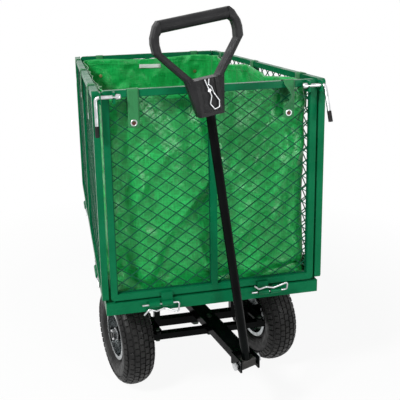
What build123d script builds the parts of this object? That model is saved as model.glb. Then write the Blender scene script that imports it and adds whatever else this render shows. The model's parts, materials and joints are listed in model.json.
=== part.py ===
from build123d import *
import os
from math import cos, hypot, radians, sin

# Mesh-sided garden cart with a drop-side cage, a fabric liner, four pneumatic
# wheels, linked front steering and a fold-down pull handle.
# Lengths in mm. While the pieces are built, X points right, Y to the rear from
# the front face of the cage, and Z up from the ground; the finished cart is then
# moved in Y so that the origin lies under the middle of its bounding box.

# Cage and tray
CAGE_WIDTH = 525.0          # over the outer faces of the side panels
SIDE_LENGTH = 884.0
PANEL_HEIGHT = 482.0
BAR = 15.0                  # square tube of the panel frames
BAR_WALL = 1.2
FRAME_CORNER = 9.0          # outer corner radius of the bent tube
END_GAP = 5.0               # between an end panel and the side posts
TRAY_INSET = 8.0            # tray side inside the outer face of the side panel
TRAY_STEP = 2.0             # tray stands this far out in front of the end panels
TRAY_TOP = 322.0
TRAY_RAIL_HEIGHT = 28.0
TRAY_RAIL_WIDTH = 20.0
TRAY_WALL = 1.5
PANEL_LIFT = 5.0            # open line between tray and panels
CROSSBAR_WIDTH = 25.0
OVERCUT = 1.0               # how far a cut runs past the piece it opens

# Expanded metal
MESH_PITCH = (43.0, 31.0)
MESH_STRAND = 2.0
MESH_THICKNESS = 2.0
DECK_PITCH = (62.0, 40.0)
DECK_STRAND = 3.0
DECK_THICKNESS = 2.5

# Bottom hinges and their hairpin clips
HINGE_OFFSET = 130.0        # hinge centre from the middle of an end panel
SIDE_HINGE_OFFSET = 255.0   # hinge centre from the middle of a side panel
LUG_WIDTH = 26.0
LUG_GAP = 4.0
LUG_PLATE = 3.0
EYE_RADIUS = 6.0
PIN_OUT = 7.0               # hinge axis in front of the tray face
PIN_DROP = 9.0              # hinge axis below the tray top
CLIP_WIRE = 4.0
CLIP_LEG = 86.0
CLIP_DEPTH = 26.0
CLIP_END_RISE = 0.97        # share of the leg where the waved wire turns down
CLIP_WAVES = ((0.60, 0.42), (0.38, 0.66), (0.18, 0.42), (0.04, 0.92))  # shares of leg and depth
CLIP_BEND = 0.18            # bend radius as a share of the clip's depth
TURNED_CLIP = 155.0         # the front right clip hangs the other way up
PANEL_LUG_LAP = 10.5        # panel strap on the face of the bottom rail
PIN_CLEARANCE = 0.3

# Corner latches
LATCH_DROP = 12.0           # rod axis below the top of the panels
LATCH_OUT = 12.0            # rod axis in front of the panel faces
LATCH_ROD = 8.0
LATCH_HEAD = 12.0
LATCH_HEAD_LENGTH = 11.0
LATCH_HEAD_REACH = 61.0     # inner end of the head from the outer face of the side panel
LATCH_HEAD_ROUND = 4.8
LATCH_LEG = 60.0            # bare part of the hanging leg
GRIP_LENGTH = 24.0
GRIP_DIAMETER = 9.5
EAR_HEIGHT = 25.0
EAR_DROP = 1.0              # top of an ear below the top of the panels
EAR_PLATE = 3.0
END_EAR_PLATE = 5.0
EAR_BACK = 9.0              # side-panel ear on the inner face of its post
EAR_INSET = 43.0            # end-panel ear from the outer face of the side panel
EAR_MARGIN = 6.0
HOLE_CLEARANCE = 0.5
FRONT_RIGHT_LEG_TURN = 22.0

# Wheels
WHEEL_DIAMETER = 260.0
TYRE_WIDTH = 80.0
TYRE_CASING = 8.0
RIM_RADIUS = 58.0
RIM_WIDTH = 58.0
RIM_FLANGE = 6.5
RIM_SHEET = 2.5
RIM_DISC = 5.0
RIM_BOLT_CIRCLE = 36.0
RIM_BOLT = 8.0
RIM_BOLT_COUNT = 4
NUT_ACROSS = 1.6            # hexagon over its corners as a share of the bolt
NUT_HEIGHT = 0.6
HUB_RADIUS = 17.0
HUB_INNER = 35.0            # hub end towards the cart, from the wheel's mid plane
HUB_OUTER = 25.0
WASHER_RADIUS = 15.3
AXLE_DIAMETER = 16.0
RUNNING_FIT = 0.1
VALVE_DIAMETER = 7.0
VALVE_LENGTH = 26.0
VALVE_OUT = 16.0            # valve outside the wheel's mid plane
WASHER_THICKNESS = 2.5
AXLE_NUT = 10.0
AXLE_OVERHANG = 2.0         # axle tip outside its nut
WHEEL_INSET = 59.5          # wheel's mid plane inside the tray's side

# Front axle and steering
FRONT_AXLE = 204.0          # behind the front face of the cage
REAR_AXLE = 690.0
AXLE_ROOM = 1.0             # rear axle in its beam, and beam to hub
BEAM = 20.0
BEAM_Z = 140.0
BEAM_WALL = 2.0
LEG_WIDTH = 16.0
LEG_DEPTH = 20.0
LEG_GAP = 7.0               # axle leg to kingpin tube, clear of the swinging arms
STUB_OFFSET = 58.5          # wheel's mid plane from the kingpin
KINGPIN_TUBE_RADIUS = 15.0
KINGPIN_TUBE_BOTTOM = 108.0
KINGPIN_TUBE_TOP = 158.0
KINGPIN = 12.0
BOLT_HEAD = 7.0
YOKE_PLATE = 6.0
YOKE_HALF_WIDTH = 14.0
YOKE_BACK = 17.0            # inner face of the yoke's upright plate from the kingpin
SLIP = 0.3
ARM_LENGTH = 83.0
ARM_WIDTH = 22.0
TIE_BAR = 16.0
TIE_OVERHANG = 12.0
TIE_BOLT = 8.0
STEER_REST = 12.3           # heading of the drawbar and front wheels, to the right

# Drawbar, fork and pull pole
DRAWBAR_WIDTH = 40.0
DRAWBAR_HEIGHT = 20.0
DRAWBAR_BOTTOM = 165.0
DRAWBAR_TAIL = 25.0
DRAWBAR_WALL = 2.0
FORK_REACH = 284.0          # front edge of the fork from the steering pivot
FORK_LENGTH = 44.0
FORK_WIDTH = 50.0
FORK_PLATE = 4.0
FORK_HEIGHT = 28.0
FORK_BOTTOM = 158.0
FORK_BOLT_BACK = 16.0       # pole bolt behind the fork's front edge
FORK_BOLT_UP = 12.0
POLE_BOLT = 10.0
POLE_BLOCK = 20.0
POLE_BLOCK_CORNER = 3.0
POLE_DIAMETER = 20.0
POLE_WALL = 1.5
POLE_ROLL = 7.1             # sideways lean in the fork's play
POLE_LEAN = 2.4             # backward lean of the stowed pole
FORK_PLAY = 3.0             # pivot block to each cheek
BOLT_PLAY = 2.5             # bolt head to the fork's cheek
BOLT_TIP = 6.5              # bolt end outside its nut's seat
NECK_DISTANCE = 590.0       # underside of the handle's neck from the pole bolt
POLE_IN_NECK = 66.0

# D-shaped handle: half widths and heights from the underside of the neck
HANDLE_CANT = 1.8
HANDLE_TURN = -8.0          # about the pole, within the play of the pin
HANDLE_OUTER = [(36, 66), (42, 78), (97, 148), (98, 168), (96, 181), (86, 203), (77, 212)]
HANDLE_INNER = [(24, 78), (80, 147), (81.5, 163), (81, 171), (79, 181), (74, 186)]
HANDLE_DEPTH = 27.0
HANDLE_EDGE = 4.0
GRIP_BAR = 26.4
GRIP_BAR_LAP = 2.0          # into each arm
NECK_DEPTH = 37.0
NECK_FOOT = 58.0            # width of the neck at its underside
NECK_FACE = 49.0            # width of the neck's front and back faces
NECK_POCKET = 34.0
NECK_POCKET_DEPTH = 3.0
NECK_POCKET_FOOT = 9.0
BORE_DEPTH = 2.0            # pole's bore past the pole's end
NECK_PIN = 7.0
NECK_PIN_HEIGHT = 54.0
NECK_PIN_HEAD = 3.0
NECK_PIN_STAND = 6.0        # pin tip in front of the neck
NECK_CLIP_WIRE = 2.6
NECK_CLIP_TILT = 14.0
NECK_CLIP_OUTLINE = [
    (0, 24),
    (0, -13),
    (-9.5, -27),
    (-5, -41),
    (6, -41),
    (11, -28),
    (6.8, -9),
    (6.8, 5),
    (3.4, 12),
    (9, 22),
]
NECK_CLIP_BEND = 3.0

# Fabric liner
LINER_WALL = 2.0
LINER_DROP = 9.0            # hem below the top of the panels
STRAP_WIDTH = 25.0
STRAP_THICKNESS = 1.5
STRAP_CLEARANCE = 0.4
STRAP_OUTSIDE = 85.0
STRAP_INSIDE = 50.0
END_STRAP_X = 175.0
SIDE_STRAP_SHARES = (0.13, 0.50, 0.87)
SNAP_DIAMETER = 15.0
SNAP_CENTRE = 8.0
SNAP_THICKNESS = 2.0
SNAP_SINK = 0.4             # centre below the ring's face
SNAP_UP = 12.0              # snap centre above the strap's end

# Places that follow from the sizes
SIDE_FACE = CAGE_WIDTH / 2
PANEL_BOTTOM = TRAY_TOP + PANEL_LIFT
PANEL_TOP = PANEL_BOTTOM + PANEL_HEIGHT
PANEL_MIDDLE = PANEL_BOTTOM + PANEL_HEIGHT / 2
END_WIDTH = CAGE_WIDTH - 2 * (BAR + END_GAP)
TRAY_WIDTH = CAGE_WIDTH - 2 * TRAY_INSET
TRAY_LENGTH = SIDE_LENGTH + 2 * TRAY_STEP
TRAY_BOTTOM = TRAY_TOP - TRAY_RAIL_HEIGHT
TRAY_FACE = TRAY_WIDTH / 2
MIDDLE = SIDE_LENGTH / 2
DECK_BOTTOM = TRAY_TOP - DECK_THICKNESS
PIN_Z = TRAY_TOP - PIN_DROP
LATCH_Z = PANEL_TOP - LATCH_DROP
WHEEL_RADIUS = WHEEL_DIAMETER / 2
TRACK = TRAY_WIDTH - 2 * WHEEL_INSET
KINGPIN_X = TRACK / 2 - STUB_OFFSET
STEER_PIVOT = Pos(0, FRONT_AXLE, 0)
DRAWBAR_PLACE = STEER_PIVOT * Rot(0, 0, STEER_REST)
FORK_BOLT_REACH = FORK_REACH - FORK_BOLT_BACK
POLE_PLACE = (
    DRAWBAR_PLACE
    * Pos(0, -FORK_BOLT_REACH, FORK_BOTTOM + FORK_BOLT_UP)
    * Rot(0, -POLE_ROLL, 0)
    * Rot(-POLE_LEAN, 0, 0)
)
HANDLE_SEAT = Pos(0, 0, NECK_DISTANCE) * Rot(0, 0, HANDLE_TURN) * Rot(0, -HANDLE_CANT, 0)
HANDLE_PLACE = POLE_PLACE * HANDLE_SEAT


def block(x, y, z):
    """Box between the limits given for each axis."""
    size = [limits[1] - limits[0] for limits in (x, y, z)]
    centre = [(limits[1] + limits[0]) / 2 for limits in (x, y, z)]
    return Pos(*centre) * Box(*size)


def post(x, y, z, radius):
    """Upright cylinder at x, y between the limits z."""
    return Pos(x, y, (z[0] + z[1]) / 2) * Cylinder(radius, z[1] - z[0])


def bar_x(x, y, z, radius):
    """Cylinder along X between the limits x."""
    return Pos((x[0] + x[1]) / 2, y, z) * Rot(0, 90, 0) * Cylinder(radius, x[1] - x[0])


def hexagon(bolt, height):
    """Head or nut of a bolt, standing on the XY plane."""
    section = RegularPolygon(bolt * NUT_ACROSS / 2, 6, major_radius=False)
    return extrude(section, amount=height)


def past(limits):
    """Limits of a cut that runs past both ends of what it opens."""
    return (limits[0] - OVERCUT, limits[1] + OVERCUT)


def tube_bore(x, y, z, wall, axis):
    """Inside of a rectangular tube with the outer limits given, open along one axis."""
    limits = [(low + wall, high - wall) for low, high in (x, y, z)]
    limits[axis] = past((x, y, z)[axis])
    return block(*limits)


def mirrored_x(parts):
    """The same pieces on the left instead of the right."""
    return [mirror(part, about=Plane.YZ) for part in parts]


def mirrored_y(parts):
    """The same pieces at the rear instead of the front."""
    return [mirror(part, about=Plane.XZ.offset(-MIDDLE)) for part in parts]


def swept_wire(points, radius, wire):
    """Round wire of diameter `wire` along straight runs joined by arcs."""
    path = FilletPolyline(*points, radius=radius)
    return sweep(Plane(origin=path @ 0, z_dir=path % 0) * Circle(wire / 2), path=path)


def tube_ring(width, height, bar, depth, wall, corner):
    """Four mitred members of a rectangular tube frame lying in the XY plane."""
    outline = RectangleRounded(width, height, corner)
    opening = Rectangle(width - 2 * bar, height - 2 * bar)
    hollow = RectangleRounded(width - 2 * wall, height - 2 * wall, corner - wall)
    core = Rectangle(width - 2 * (bar - wall), height - 2 * (bar - wall))
    ring = extrude(outline - opening, amount=depth / 2, both=True)
    ring -= extrude(hollow - core, amount=depth / 2 - wall, both=True)
    members = []
    for long_side, short_side, turn in ((width, height, 0), (height, width, 90)):
        for flip in (0, 180):
            mitre = Polyline(
                (-long_side / 2, short_side / 2),
                (long_side / 2, short_side / 2),
                (long_side / 2 - bar, short_side / 2 - bar),
                (bar - long_side / 2, short_side / 2 - bar),
                close=True,
            )
            wedge = extrude(make_face(mitre), amount=depth, both=True)
            members.append(ring & (Rot(0, 0, turn + flip) * wedge))
    return members


def clipped(points, limits, axis, sign):
    """Part of a convex outline on the inner side of one limit."""
    kept = []
    for start, end in zip(points, points[1:] + points[:1]):
        inside = [sign * (limits - point[axis]) for point in (start, end)]
        if inside[0] >= 0:
            kept.append(start)
        if inside[0] * inside[1] < 0:
            share = inside[0] / (inside[0] - inside[1])
            kept.append(tuple(a + share * (b - a) for a, b in zip(start, end)))
    return kept


def outline_area(points):
    """Area of a flat outline."""
    pairs = zip(points, points[1:] + points[:1])
    return abs(sum(a[0] * b[1] - b[0] * a[1] for a, b in pairs)) / 2


def expanded_metal(x, y, pitch, strand, thickness):
    """Sheet of diamond mesh between the limits x and y, centred on the XY plane."""
    half = (pitch[0] / 2, pitch[1] / 2)
    edge_distance = half[0] * half[1] / hypot(*half)
    shrink = 1 - strand / 2 / edge_distance
    reach = [half[0] * shrink, half[1] * shrink]
    rows = range(int(y[0] // half[1]) - 1, int(y[1] // half[1]) + 2)
    columns = range(int(x[0] // half[0]) - 1, int(x[1] // half[0]) + 2)
    openings = []
    for row in rows:
        for column in columns:
            if (row + column) % 2:
                continue
            cx, cy = column * half[0], row * half[1]
            points = [(cx + reach[0], cy), (cx, cy + reach[1]), (cx - reach[0], cy), (cx, cy - reach[1])]
            for axis, limits in ((0, x), (1, y)):
                points = clipped(points, limits[1] - strand, axis, 1)
                points = clipped(points, limits[0] + strand, axis, -1)
            if len(points) > 2 and outline_area(points) > strand * strand:
                openings.append(Wire.make_polygon([Vector(*point) for point in points]))
    corners = [(x[0], y[0]), (x[1], y[0]), (x[1], y[1]), (x[0], y[1])]
    outline = Wire.make_polygon([Vector(*corner) for corner in corners])
    sheet = Face(outline, openings)
    return Pos(0, 0, -thickness / 2) * extrude(sheet, amount=thickness)


def hairpin(leg, depth, wire):
    """Hairpin clip: straight leg along +X from the origin, waved leg below it in the XY plane."""
    waves = ((CLIP_END_RISE, 1.0), *CLIP_WAVES)
    points = [(0, 0), (leg, 0)] + [(leg * share, -depth * fall) for share, fall in waves]
    return swept_wire(points, depth * CLIP_BEND, wire)


# Tray ---------------------------------------------------------------------------------

def tray_frame():
    """Tube rails of the tray with the fixed eyes of the panel hinges."""
    rails = tube_ring(TRAY_WIDTH, TRAY_LENGTH, TRAY_RAIL_WIDTH, TRAY_RAIL_HEIGHT, TRAY_WALL, TRAY_WALL * 2)
    place = Pos(0, MIDDLE, TRAY_TOP - TRAY_RAIL_HEIGHT / 2)
    eyes = []
    for start, _ in end_hinge_places():
        eyes.append(tray_eye(start))
    side_eyes = []
    for start, _ in side_hinge_places():
        side_eyes.append(side_turned(tray_eye(start)))
    return [place * rail for rail in rails] + eyes + mirrored_y(eyes) + side_eyes + mirrored_x(side_eyes)


def tray_crossbars():
    """Cross members over the axles and at the middle, between the tray's side rails."""
    half = TRAY_WIDTH / 2 - TRAY_RAIL_WIDTH
    x, z = (-half, half), (TRAY_BOTTOM, DECK_BOTTOM)
    bars = []
    for place in (FRONT_AXLE, (FRONT_AXLE + REAR_AXLE) / 2, REAR_AXLE):
        y = (place - CROSSBAR_WIDTH / 2, place + CROSSBAR_WIDTH / 2)
        bars.append(block(x, y, z) - tube_bore(x, y, z, TRAY_WALL, 0))
    return bars


def deck_mesh():
    """Expanded-metal floor on the crossbars."""
    half_width = TRAY_WIDTH / 2 - TRAY_RAIL_WIDTH
    half_length = TRAY_LENGTH / 2 - TRAY_RAIL_WIDTH
    sheet = expanded_metal(
        (-half_width, half_width), (-half_length, half_length), DECK_PITCH, DECK_STRAND, DECK_THICKNESS
    )
    return [Pos(0, MIDDLE, (DECK_BOTTOM + TRAY_TOP) / 2) * sheet]


# Hinges -------------------------------------------------------------------------------

def end_hinge_places():
    """Left ends of the tray eye and of the panel eye for the two hinges of an end panel."""
    pair = 2 * LUG_WIDTH + LUG_GAP
    left = -HINGE_OFFSET - pair / 2
    right = HINGE_OFFSET - pair / 2
    return [(left, left + LUG_WIDTH + LUG_GAP), (right + LUG_WIDTH + LUG_GAP, right)]


def side_hinge_places():
    """The same along a side panel, measured from the cart's middle."""
    pair = 2 * LUG_WIDTH + LUG_GAP
    places = []
    for centre in (-SIDE_HINGE_OFFSET, SIDE_HINGE_OFFSET):
        start = centre - pair / 2
        places.append((start, start + LUG_WIDTH + LUG_GAP))
    return places


def side_turned(part):
    """Moves a piece from the front edge of the tray to its right edge."""
    turn = Pos(TRAY_FACE, MIDDLE, 0) * Rot(0, 0, 90) * Pos(0, TRAY_STEP, 0)
    return turn * part


def eye_profile(web):
    """Hinge eye around the pin with its web, in the plane across the pin."""
    bore = Circle(CLIP_WIRE / 2 + PIN_CLEARANCE)
    return Circle(EYE_RADIUS) + web - bore


def across_pin(profile, start):
    """Extrudes a section across the front hinge pin over one lug width."""
    plane = Plane(origin=(start, -TRAY_STEP - PIN_OUT, PIN_Z), x_dir=(0, 1, 0), z_dir=(1, 0, 0))
    return extrude(plane * profile, amount=LUG_WIDTH)


def tray_eye(start):
    """Eye welded to the front face of the tray."""
    web = Pos(PIN_OUT / 2, 0) * Rectangle(PIN_OUT, 2 * EYE_RADIUS)
    return across_pin(eye_profile(web), start)


def end_panel_lug(start):
    """Eye of an end panel, on a cranked strap welded to the front of its bottom rail."""
    rail_face = TRAY_STEP + PIN_OUT
    rail_bottom = PANEL_BOTTOM - PIN_Z
    strap_back = EYE_RADIUS
    strap = Polyline(
        (strap_back - LUG_PLATE, 0),
        (strap_back, 0),
        (strap_back, rail_bottom),
        (rail_face, rail_bottom),
        (rail_face, rail_bottom + PANEL_LUG_LAP),
        (strap_back - LUG_PLATE, rail_bottom + PANEL_LUG_LAP),
        close=True,
    )
    return across_pin(eye_profile(make_face(strap)), start)


def side_panel_lug(start):
    """Eye of a side panel, on a strap welded under its bottom rail."""
    rail_outer = TRAY_FACE + PIN_OUT - SIDE_FACE
    rail_bottom = PANEL_BOTTOM - PIN_Z
    strap = Pos(rail_outer + LUG_PLATE / 2, rail_bottom / 2) * Rectangle(LUG_PLATE, rail_bottom)
    return side_turned(across_pin(eye_profile(strap), start))


def hinge_clips():
    """Hairpin clips whose straight legs are the hinge pins of the four panels."""
    overhang = (CLIP_LEG - 2 * LUG_WIDTH - LUG_GAP) / 2
    clip = Rot(90, 0, 0) * hairpin(CLIP_LEG, CLIP_DEPTH, CLIP_WIRE)
    end = []
    for tray_start, panel_start in end_hinge_places():
        start = min(tray_start, panel_start) - overhang
        end.append(Pos(start, -TRAY_STEP - PIN_OUT, PIN_Z))
    side = []
    for start, _ in side_hinge_places():
        side.append(side_turned(Pos(start - overhang, -TRAY_STEP - PIN_OUT, PIN_Z) * clip))
    front = [end[0] * clip, end[1] * Rot(-TURNED_CLIP, 0, 0) * clip]
    rear = mirrored_y([place * clip for place in end])
    return front + rear + side + mirrored_x(side)


# Panels -------------------------------------------------------------------------------

def upright_panel(width, place):
    """Frame members with a middle bar, and the two mesh sheets, standing at `place`."""
    half = width / 2
    clear = PANEL_HEIGHT / 2 - BAR
    members = tube_ring(width, PANEL_HEIGHT, BAR, BAR, BAR_WALL, FRAME_CORNER)
    middle = Box(BAR, 2 * clear, BAR) - Box(BAR - 2 * BAR_WALL, 2 * clear, BAR - 2 * BAR_WALL)
    members.append(middle)
    sheets = []
    for x in ((BAR - half, -BAR / 2), (BAR / 2, half - BAR)):
        sheets.append(expanded_metal(x, (-clear, clear), MESH_PITCH, MESH_STRAND, MESH_THICKNESS))
    return [place * member for member in members], [place * sheet for sheet in sheets]


def latch_ear(x, y_back, hole):
    """Plate with a hole for the latch rod, standing forward of a front corner."""
    z = (PANEL_TOP - EAR_DROP - EAR_HEIGHT, PANEL_TOP - EAR_DROP)
    plate = block(x, (-LATCH_OUT - EAR_MARGIN, y_back), z)
    return plate - bar_x(past(x), -LATCH_OUT, LATCH_Z, hole / 2)


def end_panel():
    """Front panel: frame with lugs and latch ears, and mesh."""
    frame, mesh = upright_panel(END_WIDTH, Pos(0, BAR / 2, PANEL_MIDDLE) * Rot(90, 0, 0))
    lugs = [end_panel_lug(start) for _, start in end_hinge_places()]
    inner = SIDE_FACE - EAR_INSET
    ear = latch_ear((inner - END_EAR_PLATE, inner), 0, LATCH_HEAD + 2 * HOLE_CLEARANCE)
    return frame + lugs + [ear] + mirrored_x([ear]), mesh


def side_panel():
    """Right panel: frame with lugs and latch ears, and mesh."""
    place = Pos(SIDE_FACE - BAR / 2, MIDDLE, PANEL_MIDDLE) * Rot(0, 0, 90) * Rot(90, 0, 0)
    frame, mesh = upright_panel(SIDE_LENGTH, place)
    lugs = [side_panel_lug(start) for _, start in side_hinge_places()]
    post_inner = SIDE_FACE - BAR
    ear = latch_ear((post_inner - EAR_PLATE, post_inner), EAR_BACK, LATCH_ROD + HOLE_CLEARANCE)
    return frame + lugs + [ear] + mirrored_y([ear]), mesh


def corner_latch(turn):
    """Front right latch: bolt with a rounded head and a hanging leg, and its grip."""
    outer = SIDE_FACE - BAR / 2
    head_end = SIDE_FACE - LATCH_HEAD_REACH
    bend = BAR / 2 - SLIP
    bottom = -LATCH_LEG
    rod_start = head_end + LATCH_HEAD_LENGTH / 2
    rod = swept_wire([(rod_start, 0, 0), (outer, 0, 0), (outer, 0, bottom)], bend, LATCH_ROD)
    head = bar_x((head_end, head_end + LATCH_HEAD_LENGTH), 0, 0, LATCH_HEAD / 2)
    head = fillet(head.edges().sort_by(Axis.X)[0], LATCH_HEAD_ROUND)
    grip = post(outer, 0, (bottom - GRIP_LENGTH, bottom), GRIP_DIAMETER / 2)
    place = Pos(0, -LATCH_OUT, LATCH_Z) * Rot(-turn, 0, 0)
    return [place * (rod + head)], [place * grip]


# Wheels -------------------------------------------------------------------------------

def tyre():
    """Hollow tyre around the X axis."""
    half, bead = TYRE_WIDTH / 2, RIM_WIDTH / 2
    flange = RIM_RADIUS + RIM_FLANGE
    waist = (flange + WHEEL_RADIUS) / 2
    shoulder = (half * 0.78, WHEEL_RADIUS - half * 0.2)
    cavity = (bead - TYRE_CASING, flange + TYRE_CASING)
    inner_shoulder = (shoulder[0] - TYRE_CASING * 0.7, shoulder[1] - TYRE_CASING)
    right = [
        Line((bead, RIM_RADIUS), (bead, flange + 0.5)),
        ThreePointArc((bead, flange + 0.5), (half, waist), shoulder),
        Line((cavity[0], RIM_RADIUS), (bead, RIM_RADIUS)),
        Line((cavity[0], RIM_RADIUS), cavity),
        ThreePointArc(cavity, (half - TYRE_CASING, waist), inner_shoulder),
    ]
    left = [mirror(edge, about=Plane.YZ) for edge in right]
    crown = ThreePointArc(shoulder, (0, WHEEL_RADIUS), (-shoulder[0], shoulder[1]))
    roof = (0, WHEEL_RADIUS - TYRE_CASING * 1.2)
    inner_crown = ThreePointArc(inner_shoulder, roof, (-inner_shoulder[0], inner_shoulder[1]))
    section = make_face(Wire(edges_of(right + left + [crown, inner_crown])))
    return revolve(section, axis=Axis.X)


def edges_of(curves):
    """All edges of several curves."""
    return [edge for curve in curves for edge in curve.edges()]


def rim():
    """Pressed steel rim around the X axis, with its bolts and valve."""
    half = RIM_WIDTH / 2
    inner = RIM_RADIUS - RIM_SHEET
    barrel = bar_x((-half, half), 0, 0, RIM_RADIUS)
    for side in ((-half - RIM_SHEET, -half), (half, half + RIM_SHEET)):
        barrel += bar_x(side, 0, 0, RIM_RADIUS + RIM_FLANGE)
    barrel -= bar_x((-half - 2 * RIM_SHEET, half + 2 * RIM_SHEET), 0, 0, inner)
    disc = bar_x((-RIM_DISC / 2, RIM_DISC / 2), 0, 0, inner)
    disc -= bar_x((-RIM_DISC, RIM_DISC), 0, 0, HUB_RADIUS)
    bolts = []
    for index in range(RIM_BOLT_COUNT):
        turn = Rot(360 / RIM_BOLT_COUNT * (index + 0.5), 0, 0)
        disc -= turn * bar_x((-RIM_DISC, RIM_DISC), 0, RIM_BOLT_CIRCLE, RIM_BOLT / 2)
        bolt = bar_x((-RIM_DISC / 2 - RIM_BOLT, RIM_DISC / 2), 0, RIM_BOLT_CIRCLE, RIM_BOLT / 2)
        head_place = Pos(RIM_DISC / 2, 0, RIM_BOLT_CIRCLE) * Rot(0, 90, 0)
        bolts.append(turn * (bolt + head_place * hexagon(RIM_BOLT, RIM_BOLT * NUT_HEIGHT)))
    valve = post(VALVE_OUT, 0, (inner - VALVE_LENGTH, inner), VALVE_DIAMETER / 2)
    return [barrel + disc] + bolts + [valve]


def hub():
    """Hub with its bearing seats, bored for the axle."""
    length = (-HUB_INNER, HUB_OUTER)
    return bar_x(length, 0, 0, HUB_RADIUS) - bar_x(past(length), 0, 0, AXLE_DIAMETER / 2 + RUNNING_FIT)


def axle_nut():
    """Washer and nut outside the hub, from the wheel's mid plane, on the axle's end."""
    start = HUB_OUTER + SLIP
    seat = start + WASHER_THICKNESS
    washer = bar_x((start, seat), 0, 0, WASHER_RADIUS)
    nut = Pos(seat, 0, 0) * Rot(0, 90, 0) * hexagon(AXLE_DIAMETER, AXLE_NUT)
    return washer + nut - bar_x(past((start, seat + AXLE_NUT)), 0, 0, AXLE_DIAMETER / 2)


def axle_end():
    """Distance of the axle's tip from the wheel's mid plane."""
    return HUB_OUTER + SLIP + WASHER_THICKNESS + AXLE_NUT + AXLE_OVERHANG


# Axles and steering -------------------------------------------------------------------

def leg_limits():
    """Inner and outer face of an axle leg on the right."""
    outer = KINGPIN_X - KINGPIN_TUBE_RADIUS - LEG_GAP
    return (outer - LEG_WIDTH, outer)


def axle_legs(y, beam_top):
    """Two legs from an axle beam to the tray's crossbar."""
    depth = (y - LEG_DEPTH / 2, y + LEG_DEPTH / 2)
    height = (beam_top, TRAY_BOTTOM)
    leg = block(leg_limits(), depth, height) - tube_bore(leg_limits(), depth, height, BEAM_WALL, 2)
    return [leg] + mirrored_x([leg])


def front_axle():
    """Square-tube beam cut to the kingpin tubes, with its legs."""
    x = (-KINGPIN_X, KINGPIN_X)
    y = (FRONT_AXLE - BEAM / 2, FRONT_AXLE + BEAM / 2)
    z = (BEAM_Z - BEAM / 2, BEAM_Z + BEAM / 2)
    beam = block(x, y, z) - tube_bore(x, y, z, BEAM_WALL, 0)
    for end in x:
        beam -= post(end, FRONT_AXLE, past(z), KINGPIN_TUBE_RADIUS)
    beam -= post(0, FRONT_AXLE, past(z), KINGPIN / 2)
    boss_height = (z[1], DRAWBAR_BOTTOM - SLIP)
    boss = post(0, FRONT_AXLE, boss_height, KINGPIN_TUBE_RADIUS)
    boss -= post(0, FRONT_AXLE, past(boss_height), KINGPIN / 2)
    return [beam, boss] + axle_legs(FRONT_AXLE, z[1])


def kingpin_tubes():
    """Upright bearing tubes at the ends of the front beam."""
    z = (KINGPIN_TUBE_BOTTOM, KINGPIN_TUBE_TOP)
    tube = post(KINGPIN_X, FRONT_AXLE, z, KINGPIN_TUBE_RADIUS)
    tube -= post(KINGPIN_X, FRONT_AXLE, past(z), KINGPIN / 2 + RUNNING_FIT)
    return [tube] + mirrored_x([tube])


def steering_bolt():
    """Pivot bolt of the drawbar through boss and beam, with its nut."""
    top = DRAWBAR_BOTTOM + DRAWBAR_HEIGHT + SLIP
    bottom = BEAM_Z - BEAM / 2
    shank = post(0, FRONT_AXLE, (bottom - BOLT_HEAD - AXLE_OVERHANG, top), KINGPIN / 2)
    head = Pos(0, FRONT_AXLE, top) * hexagon(KINGPIN, BOLT_HEAD)
    nut = Pos(0, FRONT_AXLE, bottom - BOLT_HEAD) * hexagon(KINGPIN, BOLT_HEAD)
    return [shank + head + nut]


def knuckle():
    """Right steering knuckle about its kingpin: yoke, steering arm and stub axle."""
    top = (KINGPIN_TUBE_TOP + SLIP, KINGPIN_TUBE_TOP + SLIP + YOKE_PLATE)
    bottom = (KINGPIN_TUBE_BOTTOM - SLIP - YOKE_PLATE, KINGPIN_TUBE_BOTTOM - SLIP)
    width = (-YOKE_HALF_WIDTH, YOKE_HALF_WIDTH)
    yoke = block((YOKE_BACK, YOKE_BACK + YOKE_PLATE), width, (bottom[0], top[1]))
    for plate in (top, bottom):
        yoke += block((0, YOKE_BACK), width, plate)
        yoke += post(0, 0, plate, YOKE_HALF_WIDTH)
    yoke += block((-ARM_WIDTH / 2, ARM_WIDTH / 2), (-ARM_LENGTH, 0), top)
    yoke += post(0, -ARM_LENGTH, top, ARM_WIDTH / 2)
    yoke -= post(0, -ARM_LENGTH, past(top), TIE_BOLT / 2 + RUNNING_FIT)
    yoke -= post(0, 0, past((bottom[0], top[1])), KINGPIN / 2)
    stub = (YOKE_BACK + YOKE_PLATE, STUB_OFFSET + axle_end())
    return yoke + bar_x(stub, 0, WHEEL_RADIUS, AXLE_DIAMETER / 2)


def kingpin():
    """Kingpin bolt with head and nut, turning with the knuckle."""
    top = KINGPIN_TUBE_TOP + SLIP + YOKE_PLATE
    bottom = KINGPIN_TUBE_BOTTOM - SLIP - YOKE_PLATE
    shank = post(0, 0, (bottom, top), KINGPIN / 2)
    head = Pos(0, 0, top) * hexagon(KINGPIN, BOLT_HEAD)
    nut = Pos(0, 0, bottom - BOLT_HEAD) * hexagon(KINGPIN, BOLT_HEAD)
    return shank + head + nut


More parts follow.
